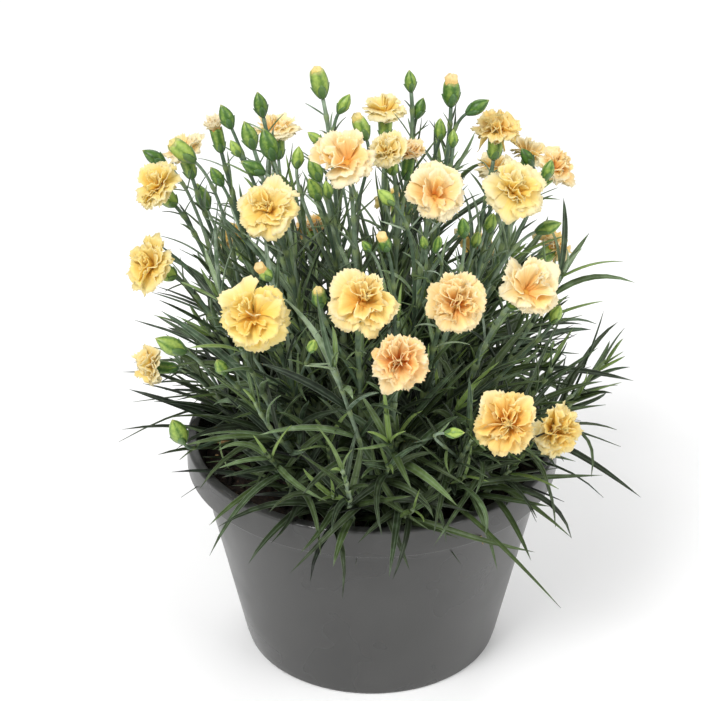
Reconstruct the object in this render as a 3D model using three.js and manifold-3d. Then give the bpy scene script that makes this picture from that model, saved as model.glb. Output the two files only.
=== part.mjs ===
// A pot carnation (Dianthus) in flower: leafy flowering shoots that stand in the soil of a round
// grower's pot and carry double blooms and closed buds. Millimetres, +Z up, with the origin at the
// middle of the pot's flat base and the front of the plant towards -Y.
import * as THREE from "three";
import { mergeVertices } from "three/addons/utils/BufferGeometryUtils.js";
import Module from "manifold-3d";

const wasm = await Module();
wasm.setup();

// ------------------------------------------------------------------- driving dimensions
const POT = {
  height: 118,
  rimRadius: 95,
  baseRadius: 66,
  wall: 2.2,
  collar: 15, // height of the thicker band round the rim
  lip: 3.2, // how far that band stands out of the wall
  sides: 32,
  drains: 6,
  drainRadius: 5,
  drainPlace: 0.72, // share of the base's radius
};
const SOIL_DROP = 16; // from the rim down to the soil
const ROOT_DEPTH = 14; // how deep a shoot stands in the soil
const ROOT_SHARE = 0.5; // a shoot roots at this share of its flower's distance from the axis
const ROOT_SPACING = 10;
const NECK = 1; // a stem stays upright for this far above the soil
const SEAT_GAP = 0.45; // round whatever sits in something else
const CLEARANCE = 0.9; // least air between pieces that pass one another
const OWN_CLEARANCE = 4.2; // least distance between two leaves or side stems of one shoot
const OWN_STEM_FREE = 12; // a leaf keeps clear of its own stem from this far out
const BEAD_STEP = 2.5; // spacing of the points at which that air is measured
const RIM_CLEARANCE = 2.5; // over the pot's rim and the soil
const OVERHANG = 30; // how far below the rim a leaf may hang outside the pot

// "rise" and "nod" are the shares of a stem's reach over which it keeps its first and last heading.
const STEM = { sides: 4, rise: 0.2, nod: 0.22 };
// Depth in whatever it grows from, radii at root and top, and the shares of the stem's length at
// which it bends.
const MAIN_STEM = { depth: ROOT_DEPTH, root: 1.9, top: 1.4, bends: [0, 0.76, 1] };
const SIDE_STEM = { depth: 0, root: 1.15, top: 1.15, bends: [0.5, 1] };
const LEAFY_STEM = { depth: 0, root: 1.4, top: 1, bends: [] };
const BOWS = [0, 9, -9, 18, -18, 27, -27]; // sideways bows that a stem tries
const BUD = { middle: 0.95, profile: [[0.5, 0.7], [0.38, 1.35], [0, 1.9]] }; // of its thickness
const CALYX = { length: 13, share: 0.17, least: 3.2, most: 4.5, wall: 0.75, depth: 5.6,
  neck: 0.78, shoulder: 2.5, belly: 9 };
const BLOOM = { middle: 5.5, sides: 12, thickness: 0.9, ruffle: 1.2, notch: 0.68, spread: 0.3,
  room: 0.54 }; // "room" is the radius kept free round its middle, as a share of its diameter
const LAYERS = [ // share of the bloom's radius, height of the root over the calyx, rise to the rim
  { reach: 1.0, base: 0.9, rise: 1.6 },
  { reach: 0.85, base: 3.0, rise: 3.6 },
  { reach: 0.58, base: 5.2, rise: 5.4 },
];
const LEAF = { width: 4.3, thickness: 0.8, foot: 1.3, belly: 0.42, curl: 0.12 };
const LEAF_PAIRS = [ // share of the stem's length, leaf length, lean from the stem, droop
  { share: 0.04, length: 68, lean: 56, droop: 0.26 },
  { share: 0.14, length: 70, lean: 44, droop: 0.18 },
  { share: 0.29, length: 58, lean: 36, droop: 0.1 },
  { share: 0.41, length: 56, lean: 30, droop: 0.08 },
  { share: 0.53, length: 48, lean: 25, droop: 0.05 },
];
// Some shoots fork near the soil into a leafy side shoot without flowers, low or tall. It rises
// straight and leans out by one of the distances "outs".
const LEAFY = { fork: 0.07, tip: 4 };
const LEAFY_KINDS = [
  { shoots: [2, 9, 11, 14, 15, 16, 19, 22, 27, 29], rise: 58, outs: [46, 34, 22],
    pairs: [
      { share: 0.36, length: 56, lean: 50, droop: 0.3 },
      { share: 0.68, length: 50, lean: 42, droop: 0.24 },
      { share: 0.96, length: 38, lean: 24, droop: 0.12 },
    ] },
  { shoots: [5, 6, 8, 10, 13, 17, 20, 24, 28], rise: 104, outs: [50, 38, 26, 14],
    pairs: [
      { share: 0.44, length: 58, lean: 40, droop: 0.16 },
      { share: 0.7, length: 54, lean: 30, droop: 0.1 },
      { share: 0.96, length: 42, lean: 18, droop: 0.03 },
    ] },
];
const TURNS = [0, 0.35, -0.35, 0.7, -0.7, 1.05, -1.05]; // other ways round that a leaf tries
const DROOPS = [0, -0.22, 0.2]; // other droops that it tries
const CUTS = [1, 0.78, 0.56]; // other lengths that it tries
const SWAY = { lowest: 1.2, pair: 0.5, length: 0.3 }; // spread of the drawn turns and lengths

// ------------------------------------------------------------------- the shoots and their heads
// A head is a bloom with its diameter or a bud with its thickness, the place of its middle from
// the centre of the pot's rim, and the way it faces. The first head of a shoot ends the main
// stem. The others end side stems, which leave the main stem at the share "fork" of its length.
const bloom = (size, place, aim, fork) => head("bloom", size, place, aim, fork);
const bud = (size, place, aim, fork) => head("bud", size, place, aim, fork);
const SHOOTS = [
  [bloom(25, [-107, 4, 138], [-6, -3, 9]), bud(7, [-108, 25, 142], [-12, 0, 8], 0.55)],
  [bloom(22, [-96, 48, 139], [-3, 2, 10]), bud(9, [-93, 12, 151], [-9, -1, 9], 0.45)],
  [bloom(12, [-78, 22, 164], [-2, 0, 10])],
  [bud(8, [-60, 8, 161], [-3, 0, 10]), bud(7, [-71, 12, 169], [-4, 0, 10], 0.6)],
  [bud(7, [-55, 25, 170], [-2, 0, 10]), bloom(24, [-50, 79, 137], [-1, 3, 10], 0.25),
    bud(9, [-50, -10, 164], [-3, 0, 10], 0.4)],
  [bloom(27, [-49, -57, 153], [-2, -6, 8]), bud(7, [-57, -26, 159], [-9, -2, 6], 0.6)],
  [bud(7, [-28, -17, 154], [-4, 0, 10]), bud(6, [-36, -14, 159], [1, 0, 10], 0.6),
    bud(7, [-28, -33, 151], [-4, -2, 10], 0.55)],
  [bloom(27, [-13, -45, 173], [-1, -4, 9]), bud(5, [-28, 2, 162], [-7, 0, 6], 0.55)],
  [bud(9, [-26, 14, 186], [-2, 0, 10]), bud(6, [-14, 11, 176], [5, 0, 9], 0.65),
    bud(8, [-6, 14, 163], [-4, 0, 10], 0.55)],
  [bloom(23, [7, 94, 142], [0, 2, 10])],
  [bloom(20, [6, -8, 162], [-2, -3, 9]), bloom(15, [18, 14, 153], [1, 0, 10], 0.55)],
  [bud(6, [18, 28, 181], [-1, 0, 10]), bud(6, [23, 30, 166], [3, 0, 10], 0.65)],
  [bud(9, [38, 26, 177], [0, 0, 10]), bud(7, [51, 24, 169], [9, 0, 6], 0.65),
    bud(6, [33, 25, 157], [0, 0, 10], 0.5)],
  [bloom(27, [28, -59, 161], [1, -6, 8]), bud(6, [5, -66, 162], [-7, -2, 8], 0.55),
    bud(5, [29, -63, 137], [1, -2, 10], 0.6)],
  [bloom(24, [62, 36, 155], [1, 1, 10]), bloom(22, [65, 77, 117], [1, 2, 10], 0.4)],
  [bloom(21, [81, 53, 135], [3, 2, 10]), bud(6, [76, 25, 142], [-5, 0, 8], 0.5)],
  [bloom(20, [92, 12, 144], [7, -1, 8]), bud(6, [84, -4, 148], [3, 0, 10], 0.6)],
  [bloom(30, [67, -36, 153], [3, -5, 8]), bud(7, [84, -20, 125], [9, -1, 4], 0.45)],
  [bloom(26, [37, -103, 127], [2, -7, 6]), bud(6, [41, -58, 143], [-1, -2, 10], 0.4)],
  [bloom(26, [11, -123, 108], [0, -8, 5]), bud(6, [4, -88, 150], [-3, -3, 10], 0.35)],
  [bloom(30, [-5, -112, 133], [1, -7, 7]), bud(7, [-25, -97, 127], [-1, -4, 10], 0.55)],
  [bloom(28, [72, -74, 120], [5, -5, 8]), bud(6, [86, -54, 96], [3, -2, 9], 0.4)],
  [bloom(28, [60, -118, 73], [1, -8, 4]), bloom(26, [88, -84, 50], [5, -7, 5], 0.35),
    bud(5, [36, -122, 71], [9, -3, 2], 0.45)],
  [bloom(32, [-55, -104, 121], [-2, -8, 5]), bud(6, [-51, -64, 123], [-5, -2, 8], 0.5),
    bud(6, [-71, -84, 84], [-3, -4, 9], 0.35)],
  [bloom(28, [-109, -27, 110], [-8, -4, 7])],
  [bloom(20, [-113, -25, 52], [-9, -4, 3]), bud(9, [-97, -50, 77], [-9, -2, 6], 0.4),
    bud(9, [-94, -63, 37], [-3, -3, 10], 0.3)],
  [bloom(25, [-74, 96, 66], [-6, 8, 8]), bud(8, [-88, 70, 100], [-4, 3, 10], 0.45)],
  [bloom(26, [16, 128, 72], [1, 9, 7]), bloom(27, [-34, 122, 58], [-2, 9, 7], 0.35),
    bud(7, [-12, 112, 104], [-1, 3, 10], 0.5)],
  [bloom(27, [60, 110, 54], [4, 8, 7]), bloom(25, [98, 78, 70], [8, 6, 8], 0.35),
    bud(8, [72, 84, 106], [2, 2, 10], 0.5)],
];

const GREEN = new THREE.MeshStandardMaterial({ color: "#5b7a5e", roughness: 0.6, metalness: 0 });
const CREAM = new THREE.MeshStandardMaterial({ color: "#f3d27c", roughness: 0.75, metalness: 0 });
const PLASTIC = new THREE.MeshStandardMaterial({ color: "#5d5c60", roughness: 0.5, metalness: 0 });
const PEAT = new THREE.MeshStandardMaterial({ color: "#241a14", roughness: 0.95, metalness: 0 });

// ------------------------------------------------------------------- helpers
const UP = vector(0, 0, 1);
const STEM_FACE = (2 * Math.PI) / STEM.sides;

function vector(x, y, z) {
  return new THREE.Vector3(x, y, z);
}

function along(point, direction, distance) {
  return point.clone().addScaledVector(direction, distance);
}

// Park and Miller's minimal generator: the same draws between 0 and 1 for the same seed.
function draws(seed) {
  let state = seed;
  return () => {
    state = (state * 16807) % 2147483647;
    return state / 2147483647;
  };
}

// X and Y after the shortest turn that takes Z to the axis.
function across(axis) {
  const k = 1 / (1 + axis.z);
  return [
    vector(1 - k * axis.x * axis.x, -k * axis.x * axis.y, -axis.x),
    vector(-k * axis.x * axis.y, 1 - k * axis.y * axis.y, -axis.y),
  ];
}

// A solid turned from a profile of [radius, height] that starts and ends on the axis, and then
// bent: place() moves each of its points to where it belongs.
function turned(profile, sides, place = (x, height, z) => vector(x, -z, height)) {
  const outline = profile.map(([radius, height]) => new THREE.Vector2(radius, height));
  const lathe = new THREE.LatheGeometry(outline, sides);
  lathe.deleteAttribute("normal");
  lathe.deleteAttribute("uv");
  const merged = mergeVertices(lathe, 1e-5);
  const points = merged.getAttribute("position");
  const vertProperties = new Float32Array(3 * points.count);
  for (let i = 0; i < points.count; i += 1) {
    place(points.getX(i), points.getY(i), points.getZ(i)).toArray(vertProperties, 3 * i);
  }
  const triVerts = [];
  for (let i = 0; i < merged.index.count; i += 3) {
    const face = [0, 1, 2].map((corner) => merged.index.getX(i + corner));
    if (new Set(face).size === 3) triVerts.push(...face);
  }
  return solid(vertProperties, triVerts);
}

// A solid from the coordinates of its corners and the corners of its outward triangles.
function solid(coordinates, corners) {
  const mesh = new wasm.Mesh({ numProp: 3, vertProperties: Float32Array.from(coordinates),
    triVerts: Uint32Array.from(corners) });
  return new wasm.Manifold(mesh);
}

function named(name, body, material) {
  const { vertProperties, triVerts } = body.getMesh();
  const geometry = new THREE.BufferGeometry();
  geometry.setAttribute("position", new THREE.BufferAttribute(vertProperties, 3));
  geometry.setIndex(new THREE.BufferAttribute(triVerts, 1));
  geometry.computeVertexNormals();
  const mesh = new THREE.Mesh(geometry, material);
  mesh.name = name;
  return mesh;
}

// ------------------------------------------------------------------- heads and stems
// A head's foot is where its stem ends, and its profile runs on from there along its aim.
function head(kind, size, place, aim, fork) {
  const facing = vector(...aim).normalize();
  const middle = vector(...place);
  if (kind === "bud") {
    return { kind, size, fork, aim: facing, middle, foot: along(middle, facing, -BUD.middle * size) };
  }
  const seat = along(middle, facing, -BLOOM.middle);
  const calyx = Math.min(CALYX.most, Math.max(CALYX.least, CALYX.share * size));
  return { kind, size, fork, aim: facing, middle, seat, calyx, foot: along(seat, facing, -CALYX.length) };
}

// A bud swells and closes to a point, and so does a leafy shoot's tip. A calyx is a cup, in
// which the bloom sits.
function headProfile({ kind, size, calyx }) {
  if (kind === "tip") return [[0, LEAFY.tip]];
  if (kind === "bud") {
    return BUD.profile.map(([radius, height]) => [radius * size, height * size]);
  }
  return [[CALYX.neck * calyx, CALYX.shoulder], [calyx, CALYX.belly], [calyx, CALYX.length],
    [calyx - CALYX.wall, CALYX.length], [0, CALYX.length - CALYX.depth]];
}

// A stem rises straight out of its root, follows a curve, and runs straight on along its head's
// aim. A station on it is the distance past the head's foot, and is negative before it. The
// leaves are to grow in the given pairs.
function stemPath(root, rootAim, { foot, aim }, bow, pairs) {
  const reach = root.distanceTo(foot);
  const curve = new THREE.CubicBezierCurve3(
    root,
    along(root, rootAim, STEM.rise * reach).add(bow),
    along(foot, aim, -STEM.nod * reach).add(bow),
    foot,
  );
  const at = (station) => {
    if (station >= 0) return { point: along(foot, aim, station), axis: aim };
    if (station < -reach) return { point: along(root, rootAim, station + reach), axis: rootAim };
    const share = 1 + station / reach;
    return { point: curve.getPoint(share), axis: curve.getTangent(share) };
  };
  return { reach, at, pairs };
}

// A stem's rings from its buried end: its bends, two close rings at each level where leaves
// grow, and its head's outline, of which the last point is the apex.
function stemRings(stem, { depth, root, top, bends }, ending) {
  const ringAt = (share, shift, level) => {
    return { radius: root + (top - root) * share, station: stem.reach * (share - 1) + shift, level };
  };
  const levels = stem.pairs.flatMap(({ share }) => {
    return [ringAt(share, -LEAF.foot / 2, share), ringAt(share, LEAF.foot / 2)];
  });
  const stretch = [...bends.map((share) => ringAt(share, 0)), ...levels];
  stretch.sort((one, other) => one.station - other.station);
  const outline = headProfile(ending).map(([radius, station]) => ({ radius, station }));
  return [{ radius: root, station: -stem.reach - depth }, ...stretch, ...outline];
}

// The face that each leaf grows from, numbered round the rings: the one at the leaf's level that
// looks most its way, or the next one where that is taken.
function leafSeats(rings, leaves) {
  const seats = new Map();
  leaves.forEach((leaf) => {
    const ring = rings.findIndex(({ level }) => level === leaf.share);
    const side = Math.round(leaf.turn / STEM_FACE - 0.5);
    const choices = [side, side + 1, side - 1].map((choice) => {
      return ring * STEM.sides + THREE.MathUtils.euclideanModulo(choice, STEM.sides);
    });
    seats.set(choices.find((choice) => !seats.has(choice)), leaf);
  });
  return seats;
}

// A stem is a sleeve of rings round its path, and its leaves are drawn out of the sleeve's faces.
function stemBody(stem, shape, leaves, ending) {
  const rings = stemRings(stem, shape, ending);
  const apex = rings.pop();
  const points = [stem.at(rings[0].station).point];
  rings.forEach(({ radius, station }) => {
    const { point, axis } = stem.at(station);
    const [right, forward] = across(axis);
    for (let side = 0; side < STEM.sides; side += 1) {
      const edge = along(point, right, radius * Math.cos(side * STEM_FACE));
      points.push(along(edge, forward, radius * Math.sin(side * STEM_FACE)));
    }
  });
  const end = points.push(stem.at(apex.station).point) - 1;

  const seats = leafSeats(rings, leaves);
  const corner = (ring, side) => 1 + ring * STEM.sides + (side % STEM.sides);
  const faces = [];
  for (let side = 0; side < STEM.sides; side += 1) {
    faces.push([0, corner(0, side + 1), corner(0, side)]);
    for (let ring = 0; ring < rings.length - 1; ring += 1) {
      const base = [corner(ring, side), corner(ring, side + 1),
        corner(ring + 1, side + 1), corner(ring + 1, side)];
      const leaf = seats.get(ring * STEM.sides + side);
      if (leaf) faces.push(...leafFaces(leaf, base, points));
      else faces.push([base[0], base[1], base[2]], [base[0], base[2], base[3]]);
    }
    faces.push([end, corner(rings.length - 1, side), corner(rings.length - 1, side + 1)]);
  }
  return solid(points.flatMap((point) => point.toArray()), faces.flat());
}

// A leaf is a flat blade that is widest at its belly and ends in a point. The belly has four
// corners, each joined to one corner of the face that the leaf grows from.
function leafFaces(leaf, base, points) {
  const middle = leaf.at(LEAF.belly);
  const upper = leaf.heading(LEAF.belly).cross(leaf.side);
  const belly = [[-1, -1], [1, -1], [1, 1], [-1, 1]].map(([aside, above]) => {
    const edge = along(middle, leaf.side, (aside * LEAF.width) / 2);
    return points.push(along(edge, upper, (above * LEAF.thickness) / 2)) - 1;
  });
  const tip = points.push(leaf.at(1)) - 1;
  return base.flatMap((corner, i) => {
    const next = (i + 1) % base.length;
    return [[corner, base[next], belly[next]], [corner, belly[next], belly[i]],
      [belly[i], belly[next], tip]];
  });
}

// ------------------------------------------------------------------- keeping clear
// Whatever is in place is a string of beads, each a point with a radius. A new stem or leaf must
// pass the beads of all other pieces, and the pot, with air between. In its own shoot it only
// keeps from running through another leaf or side stem.
const beads = [];

function stemBeads(stem, radius) {
  const count = Math.ceil(stem.reach / BEAD_STEP);
  return Array.from({ length: count }, (_, i) => {
    return { point: stem.at((-stem.reach * (i + 0.5)) / count).point, radius };
  });
}

function headBeads({ kind, size, aim, middle, seat, calyx }) {
  if (kind === "bud") {
    const shares = [-0.8, -0.4, 0, 0.4, 0.8]; // of its thickness, along it from its middle
    return shares.map((share) => {
      const radius = 0.5 * size * (1 - 0.6 * Math.abs(share));
      return { point: along(middle, aim, size * share), radius };
    });
  }
  const depths = [1, 5, 9]; // below the calyx's rim
  return depths.map((depth) => ({ point: along(seat, aim, -depth), radius: calyx }));
}

function crosses(candidate, shoot, ending) {
  return candidate.some(({ point, radius, far }) => beads.some((bead) => {
    if (bead.ending === ending && ending) return false;
    const gap = point.distanceTo(bead.point);
    if (bead.shoot !== shoot) return gap < radius + bead.radius + CLEARANCE;
    return bead.free ? gap < OWN_CLEARANCE : far && gap < radius + bead.radius;
  }));
}

function meetsPot(candidate) {
  return candidate.some(({ point, radius }) => {
    const out = Math.hypot(point.x, point.y);
    const margin = radius + RIM_CLEARANCE;
    if (out + margin < POT.rimRadius - POT.lip - 2 * POT.wall) return point.z < margin - SOIL_DROP;
    if (out - margin < POT.rimRadius) return point.z < margin;
    return point.z < -OVERHANG;
  });
}

// ------------------------------------------------------------------- growing the plant
// The roots stand under their heads, drawn in towards the middle and pushed apart.
function rootPlaces() {
  const places = SHOOTS.map(([{ middle }]) => {
    return vector(middle.x * ROOT_SHARE, middle.y * ROOT_SHARE, NECK - SOIL_DROP);
  });
  const rounds = 80;
  for (let round = 0; round < rounds; round += 1) {
    places.forEach((one, i) => places.slice(0, i).forEach((other) => {
      const shortfall = ROOT_SPACING - one.distanceTo(other);
      if (shortfall <= 0) return;
      const push = one.clone().sub(other).setLength(shortfall / 2);
      one.add(push);
      other.sub(push);
    }));
  }
  return places;
}

// The first bow with which a stem passes clear, or the straightest one. The upper part of a side
// stem is free of its main stem.
function grownStem(root, rootAim, ending, shoot, radius, pairs) {
  const sideways = vector(ending.foot.y, -ending.foot.x, 0).normalize();
  const stems = BOWS.map((size) => {
    return stemPath(root, rootAim, ending, sideways.clone().multiplyScalar(size), pairs);
  });
  const stem = stems.find((one) => !crosses(stemBeads(one, radius), shoot, ending)) ?? stems[0];
  const freeShare = ending.fork ? 0.7 : 0;
  stemBeads(stem, radius).forEach((bead, i, all) => {
    beads.push({ ...bead, shoot, free: i < freeShare * all.length });
  });
  return stem;
}

// A leaf leaves its stem at the angle "lean" and bows outward and down, in proportion to the
// square of the share of its length.
function leafPath(stem, pair, turn, droop, length) {
  const { point, axis } = stem.at(stem.reach * (pair.share - 1));
  const [right, forward] = across(axis);
  const out = right.multiplyScalar(Math.cos(turn)).addScaledVector(forward, Math.sin(turn));
  const lean = THREE.MathUtils.degToRad(pair.lean);
  const start = axis.clone().multiplyScalar(Math.cos(lean)).addScaledVector(out, Math.sin(lean));
  const bend = out.clone().multiplyScalar(LEAF.curl).addScaledVector(UP, -droop);
  const at = (share) => along(along(point, start, length * share), bend, length * share * share);
  const heading = (share) => along(start, bend, 2 * share).normalize();
  const side = axis.clone().cross(out).normalize();
  return { at, heading, side, length, turn, share: pair.share };
}

function leafBeads(leaf) {
  const count = Math.ceil(leaf.length / BEAD_STEP);
  return Array.from({ length: count }, (_, i) => {
    const share = (i + 2) / (count + 1);
    const taper = Math.min(1, 2.6 * (1 - share) + 0.2);
    return { point: leaf.at(share), radius: 0.5 * LEAF.width * taper,
      far: share * leaf.length > OWN_STEM_FREE };
  });
}

// The first of a leaf's shapes that passes clear, or none.
function grownLeaf(stem, pair, turn, length, shoot) {
  for (const cut of CUTS) {
    for (const droop of DROOPS) {
      for (const twist of TURNS) {
        const leaf = leafPath(stem, pair, turn + twist, pair.droop + droop, length * cut);
        const string = leafBeads(leaf);
        if (!meetsPot(string) && !crosses(string, shoot)) {
          string.forEach((bead) => beads.push({ ...bead, shoot, free: true }));
          return leaf;
        }
      }
    }
  }
  return null;
}

SHOOTS.forEach((heads, shoot) => heads.forEach((ending) => {
  headBeads(ending).forEach((bead) => beads.push({ ...bead, shoot, ending }));
  if (ending.kind === "bloom") {
    beads.push({ point: ending.middle, radius: BLOOM.room * ending.size, ending });
  }
}));

const roots = rootPlaces();
const mainStems = SHOOTS.map(([ending], shoot) => {
  return grownStem(roots[shoot], UP, ending, shoot, MAIN_STEM.root, LEAF_PAIRS);
});
const sideStems = SHOOTS.map(([, ...endings], shoot) => endings.map((ending) => {
  const main = mainStems[shoot];
  const { point, axis } = main.at(main.reach * (ending.fork - 1));
  const rootAim = along(axis, ending.foot.clone().sub(point).normalize(), 1).normalize();
  return grownStem(point, rootAim, ending, shoot, SIDE_STEM.root, []);
}));

const chances = SHOOTS.map((_, shoot) => draws(shoot + 1001));
const swayed = (shoot, spread) => spread * (chances[shoot]() - 0.5);
const outward = roots.map(({ x, y }, shoot) => Math.atan2(y, x) + swayed(shoot, SWAY.lowest));

// The first of a leafy side shoot's stems that passes clear, or none.
function leafyStem(main, shoot) {
  const kind = LEAFY_KINDS.find(({ shoots }) => shoots.includes(shoot + 1));
  if (!kind) return null;
  const { point } = main.at(main.reach * (LEAFY.fork - 1));
  for (const out of kind.outs) {
    for (const twist of TURNS) {
      const turn = outward[shoot] + twist;
      const rise = vector(out * Math.cos(turn), out * Math.sin(turn), kind.rise);
      const aim = rise.clone().normalize();
      const ending = { foot: point.clone().add(rise), aim };
      const stem = stemPath(point, aim, ending, vector(0, 0, 0), kind.pairs);
      const string = stemBeads(stem, LEAFY_STEM.root);
      if (!meetsPot(string) && !crosses(string, shoot)) {
        string.forEach((bead) => beads.push({ ...bead, shoot }));
        return stem;
      }
    }
  }
  return null;
}

// The lowest pair points out over the rim and back, and each next pair stands square to it.
function growLeaves(stems) {
  const leaves = stems.map(() => []);
  LEAF_PAIRS.forEach((_, level) => stems.forEach((stem, shoot) => {
    const pair = stem?.pairs[level];
    if (!pair) return;
    [0, Math.PI].forEach((side) => {
      const turn = outward[shoot] + (level * Math.PI) / 2 + side + swayed(shoot, SWAY.pair);
      const length = pair.length * (1 + swayed(shoot, SWAY.length));
      const leaf = grownLeaf(stem, pair, turn, length, shoot);
      if (leaf) leaves[shoot].push(leaf);
    });
  }));
  return leaves;
}

const leafyStems = mainStems.map(leafyStem);
const mainLeaves = growLeaves(mainStems);
const leafyLeaves = growLeaves(leafyStems);

// ------------------------------------------------------------------- the pieces
function shootBody(heads, shoot) {
  const main = stemBody(mainStems[shoot], MAIN_STEM, mainLeaves[shoot], heads[0]);
  const sides = sideStems[shoot].map((stem, i) => stemBody(stem, SIDE_STEM, [], heads[i + 1]));
  const leafy = leafyStems[shoot];
  const tip = { kind: "tip" };
  if (leafy) sides.push(stemBody(leafy, LEAFY_STEM, leafyLeaves[shoot], tip));
  return sides.reduce((body, piece) => body.add(piece), main);
}

// A bloom is turned in one piece: a core that widens into layers of petals, each a thin disc that
// is notched between its petals and ruffled up and down, and into a crown of upright petals.
function bloomBody({ size, calyx }, seed) {
  const chance = draws(seed);
  const inside = (calyx - CALYX.wall) * Math.cos(Math.PI / STEM.sides);
  const core = inside - SEAT_GAP;
  const profile = [[0, (2 * SEAT_GAP) - CALYX.depth * (core / inside)], [core, 0]];
  LAYERS.forEach(({ reach, base, rise }, layer) => {
    const rim = [0.5 * size * reach, base + rise];
    if (layer > 0) profile.push([core, base]);
    profile.push(rim);
    if (layer < LAYERS.length - 1) profile.push([rim[0], rim[1] + BLOOM.thickness]);
  });
  profile.push([0, LAYERS.at(-1).base + BLOOM.thickness]);

  const rims = LAYERS.map((_, layer) => Array.from({ length: BLOOM.sides }, (__, side) => {
    const spot = (side + layer) % 3; // a notch and the two corners of a petal
    return {
      turn: BLOOM.spread * [0, -1, 1][spot],
      reach: spot ? 0.92 + 0.12 * chance() : BLOOM.notch,
      lift: BLOOM.ruffle * [0, 1, -1][spot] * (0.6 + 0.4 * chance()),
    };
  }));
  return turned(profile, BLOOM.sides, (x, height, z) => {
    const radius = Math.hypot(x, z);
    if (radius <= core + 0.01) return vector(x, -z, height);
    const side = Math.round((Math.atan2(x, z) / (2 * Math.PI)) * BLOOM.sides + BLOOM.sides);
    const layer = LAYERS.findIndex(({ reach }) => Math.abs(0.5 * size * reach - radius) < 0.01);
    const { turn, reach, lift } = rims[layer][side % BLOOM.sides];
    const angle = ((side + turn) / BLOOM.sides) * 2 * Math.PI;
    return vector(radius * reach * Math.sin(angle), -radius * reach * Math.cos(angle), height + lift);
  });
}

function potBodies() {
  const top = POT.height;
  const outer = POT.rimRadius - POT.lip;
  const slope = (outer - POT.baseRadius) / top;
  const wallAt = (height) => POT.baseRadius + slope * height;
  const insideAt = (height) => wallAt(height) - POT.wall;
  const drained = Array.from({ length: POT.drains }, (_, i) => {
    const angle = (i / POT.drains) * 2 * Math.PI;
    const out = POT.drainPlace * POT.baseRadius;
    const hole = [[0, -1], [POT.drainRadius, -1], [POT.drainRadius, POT.wall + 1], [0, POT.wall + 1]];
    return turned(hole, 6).translate([out * Math.cos(angle), out * Math.sin(angle), 0]);
  }).reduce((body, hole) => body.subtract(hole), turned([
    [0, 0],
    [POT.baseRadius, 0],
    [wallAt(top - POT.collar), top - POT.collar],
    [POT.rimRadius, top - POT.collar],
    [POT.rimRadius, top],
    [insideAt(top), top],
    [insideAt(POT.wall), POT.wall],
    [0, POT.wall],
  ], POT.sides));

  const floor = POT.wall + SEAT_GAP;
  const level = top - SOIL_DROP;
  const soil = turned([
    [0, floor],
    [insideAt(floor) - SEAT_GAP, floor],
    [insideAt(level) - SEAT_GAP, level],
    [0, level],
  ], POT.sides);
  const planted = roots.reduce((body, { x, y }) => {
    const width = MAIN_STEM.root + SEAT_GAP;
    const bottom = level + NECK - ROOT_DEPTH - SEAT_GAP;
    const hole = [[0, bottom], [width, bottom], [width, level + NECK], [0, level + NECK]];
    return body.subtract(turned(hole, STEM.sides).translate([x, y, 0]));
  }, soil);
  return [drained, planted];
}

// ------------------------------------------------------------------- the finished plant
const numbered = (word, number) => `${word}_${String(number).padStart(2, "0")}`;
const [potBody, soilBody] = potBodies();
const part = new THREE.Group();
part.add(named("pot", potBody, PLASTIC), named("soil", soilBody, PEAT));

const plant = new THREE.Group();
plant.position.z = POT.height;
part.add(plant);
SHOOTS.forEach((heads, shoot) => {
  plant.add(named(numbered("shoot", shoot + 1), shootBody(heads, shoot), GREEN));
});
SHOOTS.flat().filter(({ kind }) => kind === "bloom").forEach((ending, i) => {
  const mesh = named(numbered("bloom", i + 1), bloomBody(ending, i + 501), CREAM);
  mesh.position.copy(ending.seat);
  mesh.quaternion.setFromUnitVectors(UP, ending.aim);
  plant.add(mesh);
});

export default part;
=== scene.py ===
# %% [markdown]
# # A pot carnation in flower
# A bush of narrow blue-green leaves, some seventy stems with closed and opening buds, and double
# cream-yellow to apricot blooms, in a round grower's pot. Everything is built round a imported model
# of the same plant. It is loaded first and stays where it is, so that each stem, leaf and bloom
# drawn here stands where the solid one stands.

# %% The frame
import math

import bpy
import numpy as np
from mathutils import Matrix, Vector


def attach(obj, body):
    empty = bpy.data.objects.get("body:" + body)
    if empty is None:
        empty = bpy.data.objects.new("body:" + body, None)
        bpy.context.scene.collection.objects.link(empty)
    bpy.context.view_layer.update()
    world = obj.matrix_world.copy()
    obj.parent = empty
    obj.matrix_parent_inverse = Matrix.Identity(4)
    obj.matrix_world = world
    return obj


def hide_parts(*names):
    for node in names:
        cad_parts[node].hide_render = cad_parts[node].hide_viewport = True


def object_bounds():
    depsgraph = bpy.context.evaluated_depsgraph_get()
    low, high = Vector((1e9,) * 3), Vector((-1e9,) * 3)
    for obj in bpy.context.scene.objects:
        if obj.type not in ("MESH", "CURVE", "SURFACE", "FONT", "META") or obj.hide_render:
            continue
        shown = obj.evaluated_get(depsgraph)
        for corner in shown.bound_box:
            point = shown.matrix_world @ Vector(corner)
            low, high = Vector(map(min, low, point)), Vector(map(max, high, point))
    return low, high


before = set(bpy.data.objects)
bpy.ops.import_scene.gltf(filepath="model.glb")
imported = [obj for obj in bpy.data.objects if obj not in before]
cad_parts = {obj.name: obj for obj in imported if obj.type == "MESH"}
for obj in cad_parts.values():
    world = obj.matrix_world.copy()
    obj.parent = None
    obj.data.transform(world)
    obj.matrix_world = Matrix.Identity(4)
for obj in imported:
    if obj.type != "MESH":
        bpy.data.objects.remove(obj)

packed_box = [list(corner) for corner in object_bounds()]
print("box of the packed plant, m:", packed_box)

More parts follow.
